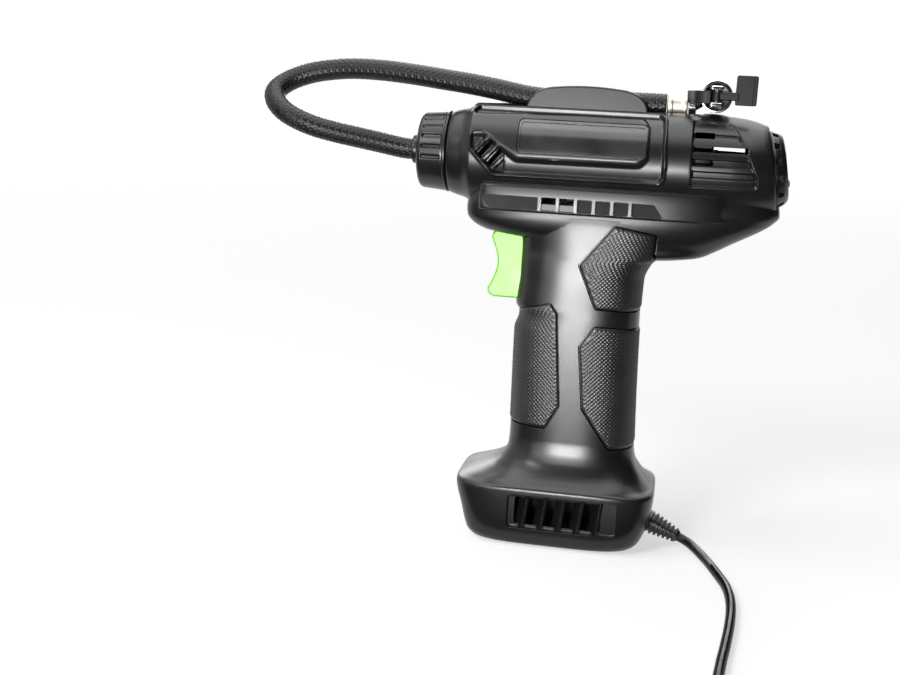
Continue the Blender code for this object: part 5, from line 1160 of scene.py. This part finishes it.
face_plate = spun("chuck_face_plate", face_line, CHUCK, ACROSS, 96)
dress(face_plate, SHADE_AND_REFLECTION_METAL, "chrome")
saddle_route = mm(((43.4, -1.2, 0), (45, -5, 0), (47, -10, 0), (50, -11.9, 0), (53, -12.1, 0)))
saddle_line = smooth_route(saddle_route, 24)
across = [(p.x - 0.0012, p.y - 0.0012) for p in saddle_line]
across += [(p.x, p.y + 0.0014) for p in reversed(saddle_line)]
saddle = softened(drawn("chuck_saddle", across, "Z", CHUCK_Z - 0.0030, CHUCK_Z + 0.0022), 0.0006, 4)
cut(saddle, rod("hub_way", 0.0024, -0.02, 0.02, HUB, UP, 48))
dress(saddle, CORD, "black_plastic")
print("chuck", len(chuck.data.polygons), "faces")

# %% [markdown]
# The lever turns on a steel pin between the chuck's ears. Its paddle stands clear of the cup, so that the
# thumb can swing it outwards.

# %% Lever and pin
hub_line = mm(((0, -2.1), (1.8, -2.1), (2, -1.9), (2, 1.9), (1.8, 2.1), (0, 2.1)))
lever = spun("thumb_lever", hub_line, HUB, UP, 48)
arm = bar("arm", (CHUCK_X, HUB_Y - 0.0015, CHUCK_Z - 0.0014), (0.0633, HUB_Y + 0.0010, CHUCK_Z + 0.0020))
softened(arm, 0.0006, 4)
paddle_line = oblong((0.0618, CHUCK_Z - 0.0032), (0.0705, CHUCK_Z + 0.0090), 0.0009)
paddle = drawn("paddle", paddle_line, "Y", HUB_Y - 0.0013, HUB_Y + 0.0013)
dish = bar("step", (0.0688, HUB_Y - 0.004, CHUCK_Z - 0.01), (0.0694, HUB_Y - 0.0008, CHUCK_Z + 0.02))
join(lever, arm, cut(softened(paddle, 0.0005, 4), dish))
cut(lever, pin_hole())
dress(lever, CORD, "black_plastic", "chuck_lever", body="chuck_lever")
pin_line = mm(((0, -4.4), (0.7, -4.4), (0.9, -4.2), (0.9, 4.2), (0.7, 4.4), (0, 4.4)))
pin = spun("lever_pivot_pin", pin_line, HUB, UP, 32)
dress(pin, STEEL, "steel", "lever_pin")
seal_line = mm(((1.6, 0), (3.7, 0), (3.9, 0.2), (3.9, 1.4), (3.7, 1.6), (1.8, 1.6), (1.6, 1.3)))
seal = spun("valve_seal", seal_line, (CHUCK_X, 0.0028, CHUCK_Z), ACROSS, 48)
dress(seal, RUBBER, "rubber", "chuck_seal")
print("lever", len(lever.data.polygons), "faces")

# %% [markdown]
# ## Strain relief and foot pad
# A ribbed rubber sleeve keeps the cord from kinking where it leaves the base. Its ribs get smaller
# towards the tip. The foot pad is a thin rubber sheet with a soft edge.

# %% Strain relief and foot pad
RIBS, RIB_START = 6, 0.0092
length = (RELIEF_END - RELIEF_ROOT).length
relief_line = [(0, -0.0018), (0.0064, -0.0018), (0.0064, 0), (0.0050, 0), (0.0050, 0.0088)]
for rib in range(RIBS):
    start = RIB_START + (length - RIB_START - 0.0010) * rib / RIBS
    step = (length - RIB_START - 0.0010) / RIBS
    radius = 0.0050 - 0.0021 * rib / RIBS
    relief_line += [(radius - 0.0008, start), (radius - 0.0008, start + 0.35 * step),
                    (radius - 0.0001, start + 0.42 * step), (radius + 0.0001, start + 0.50 * step),
                    (radius, start + 0.90 * step), (radius - 0.0003, start + 0.97 * step)]
relief_line += [(0.0027, length - 0.0006), (0.0024, length), (0, length)]
relief = spun("cord_strain_relief", relief_line, RELIEF_ROOT, relief_axis(), 64)
dress(relief, RUBBER, "rubber", "strain_relief")
foot_line = plan(pad_low[0] + 0.003, pad_low[1] - 0.003, pad_low[2] - 0.003, 4, 4, 96)
foot = softened(drawn("base_foot_pad", foot_line, "Z", 0.0, 0.0012), 0.0003)
dress(foot, RUBBER, "rubber", "foot_pad")
print("strain relief", len(relief.data.polygons), "faces")

# %% [markdown]
# ## Screws
# Four cross-head screws hold the halves together. One is spun and slotted, and the others are copies of
# it, each with its own mesh.

# %% Screws
screw_line = mm(((0, 9.8), (1.2, 9.7), (1.9, 9.4), (2.3, 8.9), (2.3, 8), (1.1, 7.9), (1.1, -2.2),
                 (0, -4.2)))
first = spun("screw", screw_line, (0, 0, 0), ACROSS, 40)
level_slot = bar("slot", (-0.0015, 0.0086, -0.0003), (0.0015, 0.012, 0.0003))
upright_slot = bar("slot", (-0.0003, 0.0086, -0.0015), (0.0003, 0.012, 0.0015))
cut(first, join(level_slot, upright_slot))
for number, (x, z) in enumerate(SCREWS, 1):
    screw = copied(first, f"case_screw_{number}")
    screw.data.transform(Matrix.Translation((x, 0, z)))
    dress(screw, STEEL, "steel", f"housing_screw_{number}")
bpy.data.objects.remove(first)
print("screws", len(SCREWS))

# %% [markdown]
# ## Plug and tie
# The cord ends in a car socket plug with a sprung tip and two sprung side contacts, and a rubber band
# holds the coil. The plug is lathe work, with a window milled in each side for a contact.

# %% Plug
PLUG_FRONT = 0.0680
BACKWARD = (-1, 0, 0)
plug_line = [(0, 0), (0.0026, 0), (0.0030, 0.0004), (0.0046, 0.0090), (0.0052, 0.0097), (0.0086, 0.0100),
             (0.0098, 0.0108)]
for rib in range(5):
    at = 0.0130 + rib * 0.0040
    plug_line += [(0.0105, at - 0.0002), (0.0106, at + 0.0002), (0.0106, at + 0.0020),
                  (0.0104, at + 0.0024), (0.0098, at + 0.0028), (0.0098, at + 0.0034)]
plug_line += [(0.0105, 0.0350), (0.0106, 0.0356), (0.0106, 0.0428), (0.0102, 0.0436), (0.0096, 0.0440),
              (0.0094, 0.0442), (0.0094, PLUG_FRONT), (0.0064, PLUG_FRONT), (0.0064, PLUG_FRONT - 0.0090),
              (0, PLUG_FRONT - 0.0090)]
plug = spun("socket_plug", plug_line, PLUG_AT, BACKWARD, 72)
bays = []
for sign in (-1, 1):
    y = PLUG_AT.y + sign * 0.0082
    low = (PLUG_AT.x - 0.0610, y - 0.0020, PLUG_AT.z - 0.0022)
    high = (PLUG_AT.x - 0.0490, y + 0.0020, PLUG_AT.z + 0.0022)
    bays.append(bar("bay", low, high))
cut(plug, merged("bays", bays))
dress(plug, BLACK, "black_plastic", "plug_body")
ring_line = mm(((3.7, 76), (6.8, 76), (7.5, 75.7), (8.6, 73.3), (9.1, 72.6), (9.2, 71.8), (9.2, 68.3),
                (3.7, 68.3)))
ring = spun("plug_nose_ring", ring_line, PLUG_AT, BACKWARD, 72)
dress(ring, BLACK, "black_plastic", "plug_ring")
tip_line = mm(((0, 81.2), (1.2, 81.1), (2.2, 80.6), (3, 79.7), (3.4, 78.6), (3.4, 67.7), (5.8, 67.7),
               (5.8, 64.7), (0, 64.7)))
tip = spun("plug_tip_contact", tip_line, PLUG_AT, BACKWARD, 56)
dress(tip, CHROME, "chrome", "plug_tip", body="plug_tip")
line_out = smooth_route([(-0.0055, 0.0092, 0), (-0.0030, 0.0104, 0), (0, 0.0106, 0), (0.0030, 0.0104, 0),
                         (0.0055, 0.0092, 0)], 24)
for number, sign in ((1, -1), (2, 1)):
    outline = [(PLUG_AT.x - 0.0550 + p.x, PLUG_AT.y + sign * p.y) for p in line_out]
    outline += [(PLUG_AT.x - 0.0495, PLUG_AT.y + sign * 0.0075),
                (PLUG_AT.x - 0.0605, PLUG_AT.y + sign * 0.0075)]
    spring = drawn(f"side_contact_{number}", outline, "Z", PLUG_AT.z - 0.0018, PLUG_AT.z + 0.0018)
    softened(spring, 0.0003)
    dress(spring, CHROME, "chrome", f"plug_contact_{number}", body=f"plug_contact_{number}")
print("plug", len(plug.data.polygons), "faces")

# %% The tie round the coil
reach = LAYER_TURNS * COIL_PITCH / 2 + CORD_R + 3 * CLEAR
tie_low = (COIL.x - COIL_MIDDLE_R - reach, TIE_SHEET + CLEAR)
tie_high = (COIL.x - COIL_MIDDLE_R + reach, TIE_SHEET + 2 * CORD_R + COIL_STEP_UP * 3 + 4 * CLEAR)
band_line = oblong((tie_low[0] - TIE_SHEET, CLEAR), (tie_high[0] + TIE_SHEET, tie_high[1] + TIE_SHEET),
                   0.0036)
band = from_side("coil_tie_band", band_line, COIL.y - 0.003, COIL.y + 0.003)
cut(band, from_side("hollow", oblong(tie_low, tie_high, 0.0028), COIL.y - 0.02, COIL.y + 0.02))
softened(band, 0.0002)
dress(band, RUBBER, "rubber", "cord_tie")
print("tie", len(band.data.polygons), "faces")

# %% [markdown]
# ## Inside
# The motor, gears, crank, piston, switch and board stay as the solid model has them, because only slits
# in the housing show them. Each still gets the finish of its own metal or plastic, except the motor's can:
# it is drawn again and painted dark, as painted shade in the slits that show it. A thin wall across the
# base keeps the light of the far window out of the near one, which looks black inside in the photograph.

# %% Inside
# The can's dark colour is painted shade, so that the vent slits in front of it look dark.
can_line = mm(((1.45, 57), (5, 57), (5, 55), (12.9, 55), (13.6, 54.7), (13.9, 54), (13.9, 20), (13.6, 19.3),
               (12.9, 19), (5, 19), (5, 17), (1.45, 17)))
can = spun("motor_shell", can_line, (0, 0, 0.1715), ALONG, 72)
dress(can, SHADE_AND_REFLECTION_METAL, "steel", "motor_can")
wall = bar("vent_wall", (-0.0205, 0.0036, 0.0027), (0.0235, 0.0048, 0.0262))
dress(wall, BLACK, "black_plastic")
INSIDE = {"motor_shaft": STEEL, "motor_pinion": BRASS, "drive_gear": NYLON, "crank_pin": STEEL,
          "gear_axle": STEEL, "gear_frame": STEEL, "connecting_rod": ALUMINIUM, "wrist_pin": STEEL,
          "piston": ALUMINIUM, "piston_ring": RUBBER, "cylinder": ALUMINIUM, "cylinder_head": ALUMINIUM,
          "air_tube": RUBBER, "trigger_switch": BLACK, "trigger_spring": STEEL, "gauge_board": BOARD}
for name, look_of in INSIDE.items():
    node = frame["nodes"][name]
    node.data.materials.clear()
    node.data.materials.append(look_of)
print("inside", len(INSIDE), "pieces")

# %% [markdown]
# ## Stage and light
# The photograph has a plain white ground, dark surroundings, and one broad lamp near the camera that
# leaves a sheen down the handle and along the ledge. The floor is white paper. The sky looks white
# wherever it is seen or mirrored, and lights the paper and the part only softly, so that the lamps do the
# modelling. Four softboxes are there for their sheen alone: ray visibility keeps them out of the diffuse
# light, so no colour bleaches. Dark cards stand in front, at the right and on the floor, as a
# photographer's flags do, so that black stays black.

# %% Floor and sky
SKY_FILL, PAPER_GLOW = 0.30, 0.60
WHITE = (1, 1, 1, 1)


def seen(nodes, links):
    """1 on rays that see a thing straight, in a mirror or through glass."""
    path = nodes.new("ShaderNodeLightPath")
    total = path.outputs["Is Camera Ray"]
    for kind in ("Is Glossy Ray", "Is Transmission Ray"):
        either = nodes.new("ShaderNodeMath")
        either.operation = "MAXIMUM"
        links.new(total, either.inputs[0])
        links.new(path.outputs[kind], either.inputs[1])
        total = either.outputs[0]
    return total


def level(nodes, links, low, high):
    """A strength that is high on rays that see a thing, and low on rays that only light it."""
    scale = nodes.new("ShaderNodeMapRange")
    settle(scale, To_Min=low, To_Max=high)
    links.new(seen(nodes, links), scale.inputs["Value"])
    return scale.outputs["Result"]


let_go()
bpy.ops.mesh.primitive_plane_add(size=60)
floor = bpy.context.object
floor.name = "floor"
paper = bpy.data.materials.new("white paper")
paper.use_nodes = True
sheet = paper.node_tree.nodes["Principled BSDF"]
settle(sheet, Base_Color=(0.88, 0.88, 0.88, 1), Roughness=0.9, Specular_IOR_Level=0.0, Emission_Color=WHITE)
tree = paper.node_tree
tree.links.new(level(tree.nodes, tree.links, 0.0, PAPER_GLOW), sheet.inputs["Emission Strength"])
floor.data.materials.append(paper)
sky = bpy.data.worlds.new("studio")
sky.use_nodes = True
ground = sky.node_tree.nodes["Background"]
settle(ground, Color=WHITE)
tree = sky.node_tree
tree.links.new(level(tree.nodes, tree.links, SKY_FILL, 1.0), ground.inputs["Strength"])
bpy.context.scene.world = sky
print("sky fill", SKY_FILL)

# %% Lamps
def lamp(name, kind, place, aim, power, size):
    """A lamp turned to its aim, which the camera doesn't see."""
    light = bpy.data.lights.new(name, kind)
    light.energy = power
    if kind == "SUN":
        light.angle = size
    else:
        light.shape = "RECTANGLE"
        light.size, light.size_y = size
    made = bpy.data.objects.new(name, light)
    turn = (Vector(aim) - Vector(place)).to_track_quat("-Z", "Y")
    made.matrix_world = Matrix.Translation(place) @ turn.to_matrix().to_4x4()
    made.visible_camera = False
    bpy.context.scene.collection.objects.link(made)
    return made


lamp("front lamp", "AREA", (-0.054, -0.70, 0.036), (0, 0, 0.12), 3.0, (0.14, 0.07))
lamp("left lamp", "AREA", (-0.45, -0.75, 0.66), (0, 0, 0.16), 3.2, (0.26, 0.26))
lamp("high lamp", "SUN", (-0.6, -0.5, 1.2), (0, 0, 0.1), 0.75, math.radians(50))
SHEENS = (
    lamp("low strip", "AREA", (-0.054, -0.64, 0.025), (0, 0, 0.12), 1.3, (0.14, 0.05)),
    lamp("left box", "AREA", (-0.215, -0.66, 0.14), (-0.05, 0, 0.15), 1.6, (0.47, 0.22)),
    lamp("ceiling box", "AREA", (0, 0.05, 0.85), (0, 0.051, 0), 10.0, (0.9, 1.3)),
    lamp("back box", "AREA", (-0.1, 0.8, 0.42), (0, 0, 0.14), 5.0, (0.8, 0.45)),
)
for sheen in SHEENS:
    sheen.visible_diffuse = False
print("softboxes", len(SHEENS))

# %% Dark cards
cloth = bpy.data.materials.new("black cloth")
cloth.use_nodes = True
settle(cloth.node_tree.nodes["Principled BSDF"], Base_Color=(0.02, 0.02, 0.02, 1), Roughness=0.9)
# The low card lies on the floor, so it casts no shade and only darkens what the shiny sides mirror.
CARDS = (
    ("front card", (0, -1.7, 2.0), (90, 0, 0), True),
    ("right card", (1.7, 0.3, 1.6), (90, 0, 90), True),
    ("low card", (0, -2.032, 0.004), (0, 0, 0), False),
)
for name, place, turn, shades in CARDS:
    let_go()
    bpy.ops.mesh.primitive_plane_add(size=4, location=place,
                                     rotation=[math.radians(angle) for angle in turn])
    card = bpy.context.object
    card.name = name
    card.visible_camera = False
    card.data.materials.append(cloth)
    card.visible_diffuse = shades
    card.visible_shadow = shades
print("cards", len(CARDS))
bpy.context.scene.view_settings.view_transform = "Standard"
